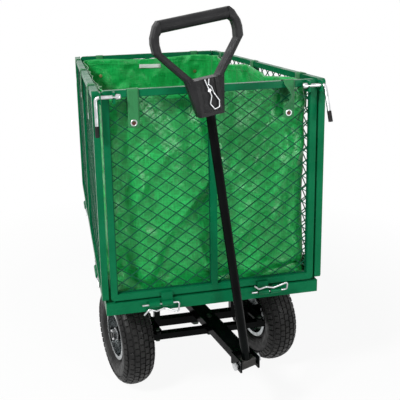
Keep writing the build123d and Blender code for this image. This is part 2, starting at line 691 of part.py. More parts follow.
def tie_rod():
    """Square bar between the steering arms, kept parallel to the beam."""
    shift = ARM_LENGTH * sin(radians(STEER_REST))
    middle = FRONT_AXLE - ARM_LENGTH * cos(radians(STEER_REST))
    x = (shift - KINGPIN_X - TIE_OVERHANG, shift + KINGPIN_X + TIE_OVERHANG)
    y = (middle - TIE_BAR / 2, middle + TIE_BAR / 2)
    z = (KINGPIN_TUBE_TOP - TIE_BAR, KINGPIN_TUBE_TOP)
    rod = block(x, y, z) - tube_bore(x, y, z, BEAM_WALL, 0)
    spacer_height = (z[1], DRAWBAR_BOTTOM - SLIP)
    spacer = post(shift, middle, spacer_height, TIE_BAR / 2)
    spacer -= post(shift, middle, past(spacer_height), TIE_BOLT / 2)
    arm_top = z[1] + SLIP + YOKE_PLATE
    bar_top = DRAWBAR_BOTTOM + DRAWBAR_HEIGHT
    bolts = []
    nut_height = TIE_BOLT * NUT_HEIGHT
    for offset, top in ((-KINGPIN_X, arm_top), (0, bar_top), (KINGPIN_X, arm_top)):
        rod -= post(shift + offset, middle, past(z), TIE_BOLT / 2)
        head_seat = top + SLIP
        shank = post(shift + offset, middle, (z[0], head_seat), TIE_BOLT / 2)
        head = Pos(shift + offset, middle, head_seat) * hexagon(TIE_BOLT, nut_height)
        nut = Pos(shift + offset, middle, z[0] - nut_height) * hexagon(TIE_BOLT, nut_height)
        bolts.append(shank + head + nut)
    return [rod, spacer], bolts


def drawbar():
    """Rectangular tube from the steering pivot to the fork."""
    z = (DRAWBAR_BOTTOM, DRAWBAR_BOTTOM + DRAWBAR_HEIGHT)
    half = DRAWBAR_WIDTH / 2
    y = (-FORK_REACH + FORK_LENGTH, DRAWBAR_TAIL)
    bar = block((-half, half), y, z)
    bar -= block(
        (DRAWBAR_WALL - half, half - DRAWBAR_WALL),
        (y[0] + DRAWBAR_WALL, y[1] + OVERCUT),
        (z[0] + DRAWBAR_WALL, z[1] - DRAWBAR_WALL),
    )
    bar -= post(0, 0, past(z), KINGPIN / 2 + RUNNING_FIT)
    bar -= post(0, -ARM_LENGTH, past(z), TIE_BOLT / 2 + RUNNING_FIT)
    return DRAWBAR_PLACE * bar


def fork():
    """Open-fronted channel on the drawbar's end that holds the pole's pivot block."""
    half = FORK_WIDTH / 2
    z = (FORK_BOTTOM, FORK_BOTTOM + FORK_HEIGHT)
    back = -FORK_REACH + FORK_LENGTH
    web = block((-half, half), (back - FORK_PLATE, back), z)
    cheek = block((half - FORK_PLATE, half), (-FORK_REACH, back - FORK_PLATE), z)
    channel = web + cheek + mirrored_x([cheek])[0]
    bolt_z = FORK_BOTTOM + FORK_BOLT_UP
    hole = Pos(0, -FORK_BOLT_REACH, bolt_z) * Rot(0, -POLE_ROLL, 0)
    channel -= hole * bar_x((-FORK_WIDTH, FORK_WIDTH), 0, 0, POLE_BOLT / 2)
    return DRAWBAR_PLACE * channel


def pole_pivot():
    """Pivot block and the bolt through the fork, with head, nut and split pin."""
    inner = FORK_WIDTH / 2 - FORK_PLATE - FORK_PLAY
    section = RectangleRounded(POLE_BLOCK, POLE_BLOCK, POLE_BLOCK_CORNER)
    section -= Circle(POLE_BOLT / 2 + RUNNING_FIT)
    pivot_block = Rot(0, 90, 0) * extrude(section, amount=inner, both=True)
    outer = FORK_WIDTH / 2 + BOLT_PLAY
    shank = bar_x((-outer, outer + BOLT_TIP), 0, 0, POLE_BOLT / 2)
    head = Pos(-outer, 0, 0) * Rot(0, -90, 0) * hexagon(POLE_BOLT, POLE_BOLT * NUT_HEIGHT)
    nut = Pos(outer, 0, 0) * Rot(0, 90, 0) * hexagon(POLE_BOLT, POLE_BOLT * NUT_HEIGHT)
    return POLE_PLACE * pivot_block, POLE_PLACE * (shank + head + nut)


def pole():
    """Tube from the pivot block into the neck of the handle."""
    foot = POLE_BLOCK / 2
    head = NECK_DISTANCE
    half = POLE_DIAMETER / 2
    tube = post(0, 0, (foot, head + POLE_IN_NECK), half)
    tube -= post(0, 0, (foot + POLE_WALL, head + POLE_IN_NECK + OVERCUT), half - POLE_WALL)
    hole = HANDLE_SEAT * Pos(0, 0, NECK_PIN_HEIGHT) * Rot(90, 0, 0)
    tube -= hole * Cylinder(NECK_PIN / 2 + RUNNING_FIT, POLE_DIAMETER * 2)
    return POLE_PLACE * tube


def outline(half_points):
    """Closed face through points mirrored left and right."""
    left = [(-x, y) for x, y in reversed(half_points)]
    return make_face(Polyline(*half_points, *left, close=True))


def chamfer_across(plate, edge):
    """Chamfers the front and back outlines of an upright plate."""
    return chamfer(plate.faces().filter_by(Axis.Y).edges(), edge)


def neck_section(half_side, z):
    """Eight-sided section of the handle's neck at a height."""
    side = (half_side, HANDLE_DEPTH / 2 - HANDLE_EDGE)
    front = (NECK_FACE / 2, NECK_DEPTH / 2)
    near = [(x, -y) for x, y in (side, front)] + [(-x, -y) for x, y in (front, side)]
    far = [(-x, y) for x, y in (side, front)] + [(x, y) for x, y in (front, side)]
    return Pos(0, 0, z) * make_face(Polyline(*near, *far, close=True))


def handle_neck():
    """Neck of the handle, widening from its underside to its shoulders, with the front pocket."""
    shoulder, top = HANDLE_OUTER[1]
    body = loft([neck_section(NECK_FOOT / 2, 0), neck_section(shoulder, top)], ruled=True)
    pocket_y = (-NECK_DEPTH / 2 - OVERCUT, NECK_POCKET_DEPTH - NECK_DEPTH / 2)
    pocket_z = (NECK_POCKET_FOOT, top + OVERCUT)
    return body - block((-NECK_POCKET / 2, NECK_POCKET / 2), pocket_y, pocket_z)


def handle_loop():
    """Arms of the handle and the round bar across their tops."""
    upright = Plane(origin=(0, 0, 0), x_dir=(1, 0, 0), z_dir=(0, -1, 0))
    loop = upright * (outline(HANDLE_OUTER) - outline(HANDLE_INNER))
    plate = extrude(loop, amount=HANDLE_DEPTH / 2, both=True)
    reach, inner_top = HANDLE_INNER[-1]
    outer_top = HANDLE_OUTER[-1][1]
    bar_z = (inner_top + outer_top) / 2
    above = block((-reach, reach), (-HANDLE_DEPTH, HANDLE_DEPTH), (inner_top - OVERCUT, 2 * outer_top))
    arms = chamfer_across(plate, HANDLE_EDGE) - above
    return arms + bar_x((-reach - GRIP_BAR_LAP, reach + GRIP_BAR_LAP), 0, bar_z, GRIP_BAR / 2)


def handle():
    """D-shaped grip on a thicker neck, bored for the pole and its pin."""
    body = handle_neck() + handle_loop()
    bore = (-POLE_DIAMETER, POLE_IN_NECK + BORE_DEPTH)
    body -= Rot(0, HANDLE_CANT, 0) * post(0, 0, bore, POLE_DIAMETER / 2 + SLIP)
    across = Pos(0, 0, NECK_PIN_HEIGHT) * Rot(90, 0, 0)
    body -= across * Cylinder(NECK_PIN / 2 + RUNNING_FIT, NECK_DEPTH * 2)
    return HANDLE_PLACE * body


def handle_fastening():
    """Clevis pin through the neck from behind, and the looped clip in front."""
    half = NECK_DEPTH / 2
    tip = -half - NECK_PIN_STAND
    pin = Pos(0, (tip + half) / 2, 0) * Rot(90, 0, 0) * Cylinder(NECK_PIN / 2, half - tip)
    pin += Pos(0, half + NECK_PIN_HEAD / 2, 0) * Rot(90, 0, 0) * Cylinder(NECK_PIN, NECK_PIN_HEAD)
    clip_place = Pos(0, -half - NECK_PIN_STAND / 2, 0) * Rot(0, -NECK_CLIP_TILT, 0)
    path = [(x, 0, z) for x, z in NECK_CLIP_OUTLINE]
    clip = clip_place * swept_wire(path, NECK_CLIP_BEND, NECK_CLIP_WIRE)
    hole = clip_place * post(0, 0, (-NECK_PIN, NECK_PIN), NECK_CLIP_WIRE / 2 + RUNNING_FIT)
    place = HANDLE_PLACE * Pos(0, 0, NECK_PIN_HEIGHT)
    return place * (pin - hole), place * clip


# Liner --------------------------------------------------------------------------------

def liner_half():
    """Half width and half length of the liner's outside."""
    gap = BAR + STRAP_CLEARANCE + STRAP_THICKNESS
    return SIDE_FACE - gap, MIDDLE - gap


def liner():
    """Open-topped fabric bag inside the cage."""
    half_x, half_y = liner_half()
    floor = TRAY_TOP + SLIP
    y = (MIDDLE - half_y, MIDDLE + half_y)
    bag = block((-half_x, half_x), y, (floor, PANEL_TOP - LINER_DROP))
    wall = LINER_WALL
    inside = block(
        (wall - half_x, half_x - wall), (y[0] + wall, y[1] - wall), (floor + wall, PANEL_TOP)
    )
    return bag - inside


def strap():
    """Webbing strap over a rail: the rail's outer face is Y = 0, its top Z = 0."""
    near = STRAP_CLEARANCE
    far = STRAP_CLEARANCE + STRAP_THICKNESS
    half = STRAP_WIDTH / 2
    outside = block((-half, half), (-far, -near), (-STRAP_OUTSIDE, far))
    top = block((-half, half), (-far, BAR + far), (near, far))
    inside = block((-half, half), (BAR + near, BAR + far), (-STRAP_INSIDE, far))
    return outside + top + inside


def snap():
    """Press stud on a strap's outer end: ring and centre."""
    face = -STRAP_CLEARANCE - STRAP_THICKNESS
    place = Pos(0, face, SNAP_UP - STRAP_OUTSIDE) * Rot(90, 0, 0)
    ring = extrude(Circle(SNAP_DIAMETER / 2) - Circle(SNAP_CENTRE / 2), amount=SNAP_THICKNESS)
    centre = extrude(Circle(SNAP_CENTRE / 2), amount=SNAP_THICKNESS - SNAP_SINK)
    return place * ring, place * centre


def strap_places():
    """Where each strap hangs, as a location for the strap's own frame."""
    front = [Pos(x, 0, PANEL_TOP) for x in (-END_STRAP_X, END_STRAP_X)]
    rear = [Pos(x, SIDE_LENGTH, PANEL_TOP) * Rot(0, 0, 180) for x in (-END_STRAP_X, END_STRAP_X)]
    right = [Pos(SIDE_FACE, share * SIDE_LENGTH, PANEL_TOP) * Rot(0, 0, 90) for share in SIDE_STRAP_SHARES]
    left = [Pos(-SIDE_FACE, share * SIDE_LENGTH, PANEL_TOP) * Rot(0, 0, -90) for share in SIDE_STRAP_SHARES]
    return front + rear + right + left


# Assembly -----------------------------------------------------------------------------

def wheel_place(side, y, steered):
    """Centre of a wheel whose outer side looks along +X before it is placed."""
    turned = Rot(0, 0, 90 - 90 * side)
    if steered:
        knuckle_place = Pos(side * KINGPIN_X, y, 0) * Rot(0, 0, STEER_REST)
        return knuckle_place * Pos(side * STUB_OFFSET, 0, WHEEL_RADIUS) * turned
    return Pos(side * TRACK / 2, y, WHEEL_RADIUS) * turned


def rear_axle():
    """Beam tube, through axle and legs of the rear wheels."""
    half = TRACK / 2 - HUB_INNER - AXLE_ROOM
    x = (-half, half)
    width = AXLE_DIAMETER + AXLE_ROOM + 2 * BEAM_WALL
    y = (REAR_AXLE - width / 2, REAR_AXLE + width / 2)
    z = (WHEEL_RADIUS - width / 2, WHEEL_RADIUS + width / 2)
    beam = block(x, y, z) - bar_x(past(x), REAR_AXLE, WHEEL_RADIUS, (AXLE_DIAMETER + AXLE_ROOM) / 2)
    tip = TRACK / 2 + axle_end()
    axle = bar_x((-tip, tip), REAR_AXLE, WHEEL_RADIUS, AXLE_DIAMETER / 2)
    return [beam, axle] + axle_legs(REAR_AXLE, z[1])


def assembly():
    """Every node's solids, in the building frame."""
    nodes = {
        "tray_frame": tray_frame(),
        "tray_crossbars": tray_crossbars(),
        "deck_mesh": deck_mesh(),
        "hinge_clips": hinge_clips(),
        "front_axle": front_axle(),
        "kingpin_tubes": kingpin_tubes(),
        "rear_axle": rear_axle(),
        "steering_bolt": steering_bolt(),
        "drawbar": [drawbar()],
        "drawbar_fork": [fork()],
        "pole": [pole()],
        "handle": [handle()],
    }
    end_frame, end_mesh = end_panel()
    nodes["front_panel_frame"], nodes["front_panel_mesh"] = end_frame, end_mesh
    nodes["rear_panel_frame"], nodes["rear_panel_mesh"] = mirrored_y(end_frame), mirrored_y(end_mesh)
    side_frame, side_mesh = side_panel()
    nodes["right_panel_frame"], nodes["right_panel_mesh"] = side_frame, side_mesh
    nodes["left_panel_frame"], nodes["left_panel_mesh"] = mirrored_x(side_frame), mirrored_x(side_mesh)
    leg_turns = {"front_right": FRONT_RIGHT_LEG_TURN, "front_left": 0, "rear_right": 0, "rear_left": 0}
    for corner, turn in leg_turns.items():
        rod, grip = corner_latch(turn)
        if corner.startswith("rear"):
            rod, grip = mirrored_y(rod), mirrored_y(grip)
        if corner.endswith("left"):
            rod, grip = mirrored_x(rod), mirrored_x(grip)
        nodes[f"latch_rod_{corner}"], nodes[f"latch_grip_{corner}"] = rod, grip
    nodes["tie_rod"], nodes["tie_rod_bolts"] = tie_rod()
    right_knuckle, right_kingpin = knuckle(), kingpin()
    for name, side in (("right", 1), ("left", -1)):
        place = Pos(side * KINGPIN_X, FRONT_AXLE, 0) * Rot(0, 0, STEER_REST)
        pair = [right_knuckle, right_kingpin]
        if side < 0:
            pair = mirrored_x(pair)
        nodes[f"knuckle_{name}"], nodes[f"kingpin_{name}"] = [place * pair[0]], [place * pair[1]]
        nodes[f"axle_nut_{name}"] = [wheel_place(side, FRONT_AXLE, True) * axle_nut()]
    nodes["rear_axle_nuts"] = [wheel_place(side, REAR_AXLE, False) * axle_nut() for side in (1, -1)]
    for end, y in (("front", FRONT_AXLE), ("rear", REAR_AXLE)):
        for name, side in (("right", 1), ("left", -1)):
            place = wheel_place(side, y, end == "front")
            nodes[f"tyre_{end}_{name}"] = [place * tyre()]
            nodes[f"rim_{end}_{name}"] = [place * piece for piece in rim()]
            nodes[f"hub_{end}_{name}"] = [place * hub()]
    pivot_block, bolt = pole_pivot()
    nodes["pole_pivot_block"], nodes["pole_bolt"] = [pivot_block], [bolt]
    pin, clip = handle_fastening()
    nodes["handle_pin"], nodes["handle_clip"] = [pin], [clip]
    nodes["liner"] = [liner()]
    nodes["liner_straps"] = [place * strap() for place in strap_places()]
    snaps = [[place * piece for piece in snap()] for place in strap_places()]
    nodes["snap_rings"] = [ring for ring, _ in snaps]
    nodes["snap_centres"] = [centre for _, centre in snaps]
    return nodes


def solids_of(parts):
    """All solids of a list of shapes."""
    return [solid for part in parts for solid in part.solids()]


NODES = {name: Compound(solids_of(parts)) for name, parts in assembly().items()}
EXTENT = Compound(list(NODES.values())).bounding_box()
TO_ORIGIN = Pos(-EXTENT.center().X, -EXTENT.center().Y, 0)

os.makedirs("parts", exist_ok=True)
for name, shape in NODES.items():
    export_step(TO_ORIGIN * shape, f"parts/{name}.step")
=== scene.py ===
"""Studio scene of a mesh-sided garden cart with a fabric liner.

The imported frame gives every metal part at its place. This script dresses them, makes the
tyres, the liner with its straps and press studs, and the small parts that a maker would
finish by hand, and lights them on a white floor. Lengths are in metres.
"""
from __future__ import annotations

import json
import logging
import math
import random
from collections.abc import Callable, Sequence
from dataclasses import dataclass, field
from enum import Enum

import bmesh
import bpy
from mathutils import Matrix, Vector, noise
from mathutils.bvhtree import BVHTree

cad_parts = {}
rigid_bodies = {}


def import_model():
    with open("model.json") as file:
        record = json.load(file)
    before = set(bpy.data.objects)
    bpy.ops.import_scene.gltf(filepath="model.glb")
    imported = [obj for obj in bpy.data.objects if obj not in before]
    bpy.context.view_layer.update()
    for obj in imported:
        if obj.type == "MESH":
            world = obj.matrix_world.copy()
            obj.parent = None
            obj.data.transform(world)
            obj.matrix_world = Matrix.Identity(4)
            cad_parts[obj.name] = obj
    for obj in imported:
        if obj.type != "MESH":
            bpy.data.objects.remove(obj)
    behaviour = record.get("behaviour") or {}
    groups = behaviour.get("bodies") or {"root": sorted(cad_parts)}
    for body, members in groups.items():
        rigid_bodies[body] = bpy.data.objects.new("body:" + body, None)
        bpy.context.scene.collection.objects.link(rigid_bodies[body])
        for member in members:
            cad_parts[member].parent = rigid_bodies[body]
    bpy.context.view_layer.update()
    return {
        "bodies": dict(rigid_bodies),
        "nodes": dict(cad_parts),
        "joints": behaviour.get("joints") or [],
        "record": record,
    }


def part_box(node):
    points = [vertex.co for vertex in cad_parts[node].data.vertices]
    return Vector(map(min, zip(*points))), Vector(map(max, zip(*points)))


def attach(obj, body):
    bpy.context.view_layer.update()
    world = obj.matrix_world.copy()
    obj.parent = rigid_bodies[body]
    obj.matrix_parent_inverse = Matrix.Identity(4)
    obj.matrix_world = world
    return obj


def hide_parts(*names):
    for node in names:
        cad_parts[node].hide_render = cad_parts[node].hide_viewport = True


LOG = logging.getLogger("garden_cart")

WAVE_TURN = 20.0            # radians in a metre of the wave texture at a scale of 1


# Finishes -----------------------------------------------------------------------------


@dataclass
class ShaderGraph:
    """One node material under construction."""

    name: str

    def __post_init__(self) -> None:
        """Creates the material with its principled shader and coordinates."""
        self.material = bpy.data.materials.new(self.name)
        self.material.use_nodes = True
        self.nodes = self.material.node_tree.nodes
        self.shader = self.nodes["Principled BSDF"]
        self.coordinates = self.nodes.new("ShaderNodeTexCoord")

    def set(self, socket: str, value: float | tuple) -> None:
        """Sets a constant on the principled shader."""
        self.shader.inputs[socket].default_value = value

    def link(self, source: bpy.types.NodeSocket, socket: str) -> None:
        """Links a texture to the principled shader."""
        self.material.node_tree.links.new(source, self.shader.inputs[socket])

    def node(
        self,
        kind: str,
        inputs: dict | None = None,
        **settings: object,
    ) -> bpy.types.Node:
        """Adds a node.

        Args:
            kind: Blender's name of the node type.
            inputs: values or sockets by input name or index.
            settings: attributes of the node.

        Returns:
            The new node.
        """
        node = self.nodes.new(kind)
        for key, value in settings.items():
            setattr(node, key, value)
        for key, value in (inputs or {}).items():
            if isinstance(value, bpy.types.NodeSocket):
                self.material.node_tree.links.new(value, node.inputs[key])
            else:
                node.inputs[key].default_value = value
        return node

    def noise(self, scale: float, detail: float = 3.0) -> bpy.types.NodeSocket:
        """Noise over the object's own coordinates."""
        inputs = {"Vector": self.coordinates.outputs["Object"], "Scale": scale, "Detail": detail}
        return self.node("ShaderNodeTexNoise", inputs).outputs["Fac"]

    def ridges(self, scale: float, detail: float = 2.0) -> bpy.types.NodeSocket:
        """Network of sharp ridges over the object's own coordinates.

        Args:
            scale: how fine it is.
            detail: how many finer layers it has.

        Returns:
            A factor of about 0 to 1.
        """
        inputs = {"Vector": self.coordinates.outputs["Object"], "Scale": scale, "Detail": detail}
        inputs |= {"Offset": 1.0, "Gain": 1.0}
        settings = {"noise_type": "RIDGED_MULTIFRACTAL", "normalize": False}
        return self.node("ShaderNodeTexNoise", inputs, **settings).outputs["Fac"]

    def bands(self, pitch: float, along: str, distortion: float) -> bpy.types.NodeSocket:
        """Soft bands over the UV map.

        Args:
            pitch: distance from band to band, in metres of cloth.
            along: the UV direction that the bands follow one another in, X or Y.
            distortion: how uneven they are.

        Returns:
            A wave between 0 and 1.
        """
        uv = self.coordinates.outputs["UV"]
        inputs = {"Vector": uv, "Scale": math.tau / pitch / WAVE_TURN, "Distortion": distortion}
        settings = {"wave_type": "BANDS", "bands_direction": along, "wave_profile": "SIN"}
        return self.node("ShaderNodeTexWave", inputs, **settings).outputs["Fac"]

    def streaks(self, across: float, along: float) -> bpy.types.NodeSocket:
        """Noise over the UV map, stretched.

        Args:
            across: its scale along u, per metre of cloth.
            along: its scale along v.

        Returns:
            The noise's factor.
        """
        inputs = {0: self.coordinates.outputs["UV"], 1: (across, along, 0.0)}
        place = self.node("ShaderNodeVectorMath", inputs, operation="MULTIPLY").outputs["Vector"]
        return self.node("ShaderNodeTexNoise", {"Vector": place, "Scale": 1.0, "Detail": 2.0}).outputs["Fac"]

    def maths(self, operation: str, *values: object) -> bpy.types.NodeSocket:
        """Result of a math node."""
        inputs = dict(enumerate(values))
        return self.node("ShaderNodeMath", inputs, operation=operation).outputs[0]

    def spread(
        self,
        factor: bpy.types.NodeSocket,
        low: float,
        high: float,
        start: float = 0.35,
        end: float = 0.65,
    ) -> bpy.types.NodeSocket:
        """Maps a factor onto a range.

        Args:
            factor: what is mapped.
            low: the result up to the start.
            high: the result from the end on.
            start: the factor's lower bound.
            end: its upper bound.

        Returns:
            The mapped value.
        """
        inputs = {"Value": factor, "From Min": start, "From Max": end, "To Min": low, "To Max": high}
        return self.node("ShaderNodeMapRange", inputs).outputs["Result"]

    def blend(
        self,
        factor: bpy.types.NodeSocket,
        first: object,
        second: object,
    ) -> bpy.types.NodeSocket:
        """Mixes two colours by a factor; a mix node's inputs 6 and 7 are its colours."""
        inputs = {"Factor": factor, 6: first, 7: second}
        return self.node("ShaderNodeMix", inputs, data_type="RGBA").outputs[2]

    def bump(
        self,
        height: bpy.types.NodeSocket,
        depth: float,
        strength: float = 1.0,
        under: bpy.types.NodeSocket | None = None,
    ) -> bpy.types.NodeSocket:
        """Bump of a height field.

        Args:
            height: the field, from 0 to 1.
            depth: how high 1 stands, in metres.
            strength: how much of it shows.
            under: the bump that it lies on, if any.

        Returns:
            The bumped normal.
        """
        inputs: dict = {"Height": height, "Distance": depth, "Strength": strength}
        if under is not None:
            inputs["Normal"] = under
        return self.node("ShaderNodeBump", inputs).outputs["Normal"]


def rgba(red: float, green: float, blue: float) -> tuple[float, float, float, float]:
    """Opaque colour."""
    return (red, green, blue, 1.0)


@dataclass(frozen=True)
class GlossPaint:
    """Brushed or dipped gloss paint on steel, slightly uneven, with rubbed patches."""

    name: str
    colour: tuple
    worn: tuple
    roughness: float = 0.24
    shine: float = 0.16
    patch_scale: float = 14.0
    smear_scale: float = 38.0
    peel_scale: float = 420.0
    wave_scale: float = 46.0

    def build(self) -> bpy.types.Material:
        """Makes the material.

        Returns:
            The material.
        """
        graph = ShaderGraph(self.name)
        patches = graph.spread(graph.noise(self.patch_scale, 5.0), 0.0, 1.0, 0.42, 0.72)
        graph.link(graph.blend(patches, self.colour, self.worn), "Base Color")
        smears = graph.noise(self.smear_scale, 4.0)
        graph.link(graph.spread(smears, self.roughness - 0.05, self.roughness + 0.12), "Roughness")
        peel = graph.bump(graph.noise(self.peel_scale, 2.0), 0.00016, 0.55)
        graph.link(graph.bump(graph.noise(self.wave_scale, 2.0), 0.0006, 0.35, peel), "Normal")
        graph.set("Specular IOR Level", self.shine)
        return graph.material


@dataclass(frozen=True)
class BarePlate:
    """Zinc-plated or galvanised steel."""

    name: str
    colour: tuple
    dull: tuple
    roughness: float = 0.26
    patch_scale: float = 70.0
    haze_scale: float = 110.0
    grain_scale: float = 900.0

    def build(self) -> bpy.types.Material:
        """Makes the material.

        Returns:
            The material.
        """
        graph = ShaderGraph(self.name)
        patches = graph.spread(graph.noise(self.patch_scale, 6.0), 0.0, 1.0)
        graph.link(graph.blend(patches, self.colour, self.dull), "Base Color")
        haze = graph.noise(self.haze_scale, 4.0)
        graph.link(graph.spread(haze, self.roughness, self.roughness + 0.2), "Roughness")
        graph.link(graph.bump(graph.noise(self.grain_scale, 3.0), 0.00008, 0.6), "Normal")
        graph.set("Metallic", 1.0)
        return graph.material


@dataclass(frozen=True)
class MouldedPlastic:
    """Black moulded plastic with a fine leather-like grain."""

    name: str
    colour: tuple
    sheen_colour: tuple
    roughness: float = 0.38
    grain_scale: float = 520.0
    patch_scale: float = 24.0
    sink_scale: float = 60.0

    def build(self) -> bpy.types.Material:
        """Makes the material.

        Returns:
            The material.
        """
        graph = ShaderGraph(self.name)
        patches = graph.spread(graph.noise(self.patch_scale, 4.0), 0.0, 1.0)
        graph.link(graph.blend(patches, self.colour, self.sheen_colour), "Base Color")
        haze = graph.noise(self.sink_scale, 4.0)
        graph.link(graph.spread(haze, self.roughness - 0.06, self.roughness + 0.1), "Roughness")
        pebbles = graph.bump(graph.ridges(self.grain_scale), 0.0004, 0.5)
        graph.link(graph.bump(graph.noise(self.sink_scale, 3.0), 0.0015, 0.4, pebbles), "Normal")
        graph.set("Specular IOR Level", 0.2)
        return graph.material


@dataclass(frozen=True)
class TyreRubber:
    """Black rubber with dust in random patches and a dull, slightly mottled skin."""

    name: str
    colour: tuple
    dust: tuple
    dust_scale: float = 30.0
    haze_scale: float = 90.0
    skin_scale: float = 1100.0
    mottle_scale: float = 140.0

    def build(self) -> bpy.types.Material:
        """Makes the material.

        Returns:
            The material.
        """
        graph = ShaderGraph(self.name)
        patches = graph.spread(graph.noise(self.dust_scale, 7.0), 0.0, 0.75, 0.4, 0.75)
        graph.link(graph.blend(patches, self.colour, self.dust), "Base Color")
        graph.link(graph.spread(graph.noise(self.haze_scale, 4.0), 0.36, 0.6), "Roughness")
        graph.set("Specular IOR Level", 0.2)
        skin = graph.bump(graph.noise(self.skin_scale, 3.0), 0.00015, 0.6)
        graph.link(graph.bump(graph.noise(self.mottle_scale, 3.0), 0.0004, 0.35, skin), "Normal")
        return graph.material


@dataclass(frozen=True)
class LinerFabric:
    """Coated woven fabric: fine tape weave, satin lustre, hard little creases and a sewn hem."""

    name: str
    colour: tuple
    shade: tuple
    # darker colour for the weave's hollows: painted shade
    weave_shade: tuple
    thread: tuple
    weave: float = 0.0022
    hem: float = 0.022
    seam: float = 0.019
    stitch: float = 0.0055
    tape_scale: float = 360.0
    run_scale: float = 36.0
    crease_scale: float = 12.0
    crumple_scale: float = 75.0
    swell_scale: float = 9.0
    haze_scale: float = 20.0

    def colours(self, graph: ShaderGraph, thread: bpy.types.NodeSocket) -> bpy.types.NodeSocket:
        """Mottled tone of the cloth, with painted shade of the weave's hollows in random streaks, and the
        hem's thread on it.

        Args:
            graph: the material.
            thread: where thread shows.

        Returns:
            The colour.
        """
        tone = graph.spread(graph.noise(self.swell_scale, 6.0), 0.0, 1.0, 0.3, 0.7)
        warp = graph.streaks(self.tape_scale, self.run_scale)
        weft = graph.streaks(self.run_scale, self.tape_scale)
        # the darker streaks paint the shade of the weave's hollows
        woven = graph.spread(graph.maths("MAXIMUM", warp, weft), 0.3, 1.0, 0.44, 0.64)
        cloth = graph.blend(woven, self.weave_shade, graph.blend(tone, self.colour, self.shade))
        return graph.blend(thread, cloth, self.thread)

    def stitches(self, graph: ShaderGraph, height: bpy.types.NodeSocket) -> bpy.types.NodeSocket:
        """Dashed line of thread along the hem's seam.

        Args:
            graph: the material.
            height: the cloth's v.

        Returns:
            1 on the thread and 0 away from it.
        """
        away = graph.maths("ABSOLUTE", graph.maths("ADD", height, self.seam))
        dashes = graph.spread(graph.bands(self.stitch, "X", 0.0), 0.0, 1.0, 0.35, 0.5)
        return graph.maths("MULTIPLY", graph.spread(away, 1.0, 0.0, 0.0004, 0.0009), dashes)

    def build(self) -> bpy.types.Material:
        """Makes the material; u runs around the bag and v up to 0 at its rim, in metres.

        Returns:
            The material.
        """
        graph = ShaderGraph(self.name)
        uv = graph.coordinates.outputs["UV"]
        height = graph.node("ShaderNodeSeparateXYZ", {"Vector": uv}).outputs["Y"]
        thread = self.stitches(graph, height)
        graph.link(self.colours(graph, thread), "Base Color")
        graph.link(graph.spread(graph.noise(self.haze_scale, 3.0), 0.26, 0.40), "Roughness")
        warp, weft = graph.bands(self.weave, "X", 0.4), graph.bands(self.weave, "Y", 0.4)
        tape = graph.bump(graph.maths("MULTIPLY", warp, weft), 0.00022, 0.45)
        step = graph.spread(height, 0.0, 1.0, -self.hem - 0.0008, -self.hem)
        sewn = graph.bump(thread, 0.0005, 0.8, graph.bump(step, 0.0008, 0.9, tape))
        creased = graph.bump(graph.ridges(self.crease_scale, 2.5), 0.0045, 0.45, sewn)
        crumpled = graph.bump(graph.noise(self.crumple_scale, 4.0), 0.0026, 0.6, creased)
        graph.link(graph.bump(graph.noise(self.swell_scale, 2.0), 0.010, 0.4, crumpled), "Normal")
        graph.set("Specular IOR Level", 0.46)
        graph.set("Sheen Weight", 0.12)
        graph.set("Sheen Roughness", 0.4)
        return graph.material


@dataclass(frozen=True)
class Webbing:
    """Ribbed polypropylene webbing: ribs run along the strap, with painted shade in the grooves between them.
    """

    name: str
    colour: tuple
    shade: tuple
    rib: float = 0.0018

    def build(self) -> bpy.types.Material:
        """Makes the material; u runs across the strap and v along it, in metres.

        Returns:
            The material.
        """
        graph = ShaderGraph(self.name)
        ribs = graph.bands(self.rib, "X", 0.0)
        picks = graph.bands(self.rib / 2, "Y", 0.6)
        # the grooves between the ribs take the darker colour: painted shade; the patches below are random
        # darker tone
        tone = graph.spread(ribs, 0.0, 1.0, 0.1, 0.9)
        patches = graph.spread(graph.noise(40.0, 4.0), 0.0, 0.35)
        graph.link(graph.blend(patches, graph.blend(tone, self.shade, self.colour), self.shade), "Base Color")
        graph.link(graph.bump(picks, 0.0002, 0.4, graph.bump(ribs, 0.0003, 0.6)), "Normal")
        graph.set("Roughness", 0.6)
        graph.set("Specular IOR Level", 0.3)
        graph.set("Sheen Weight", 0.2)
        return graph.material


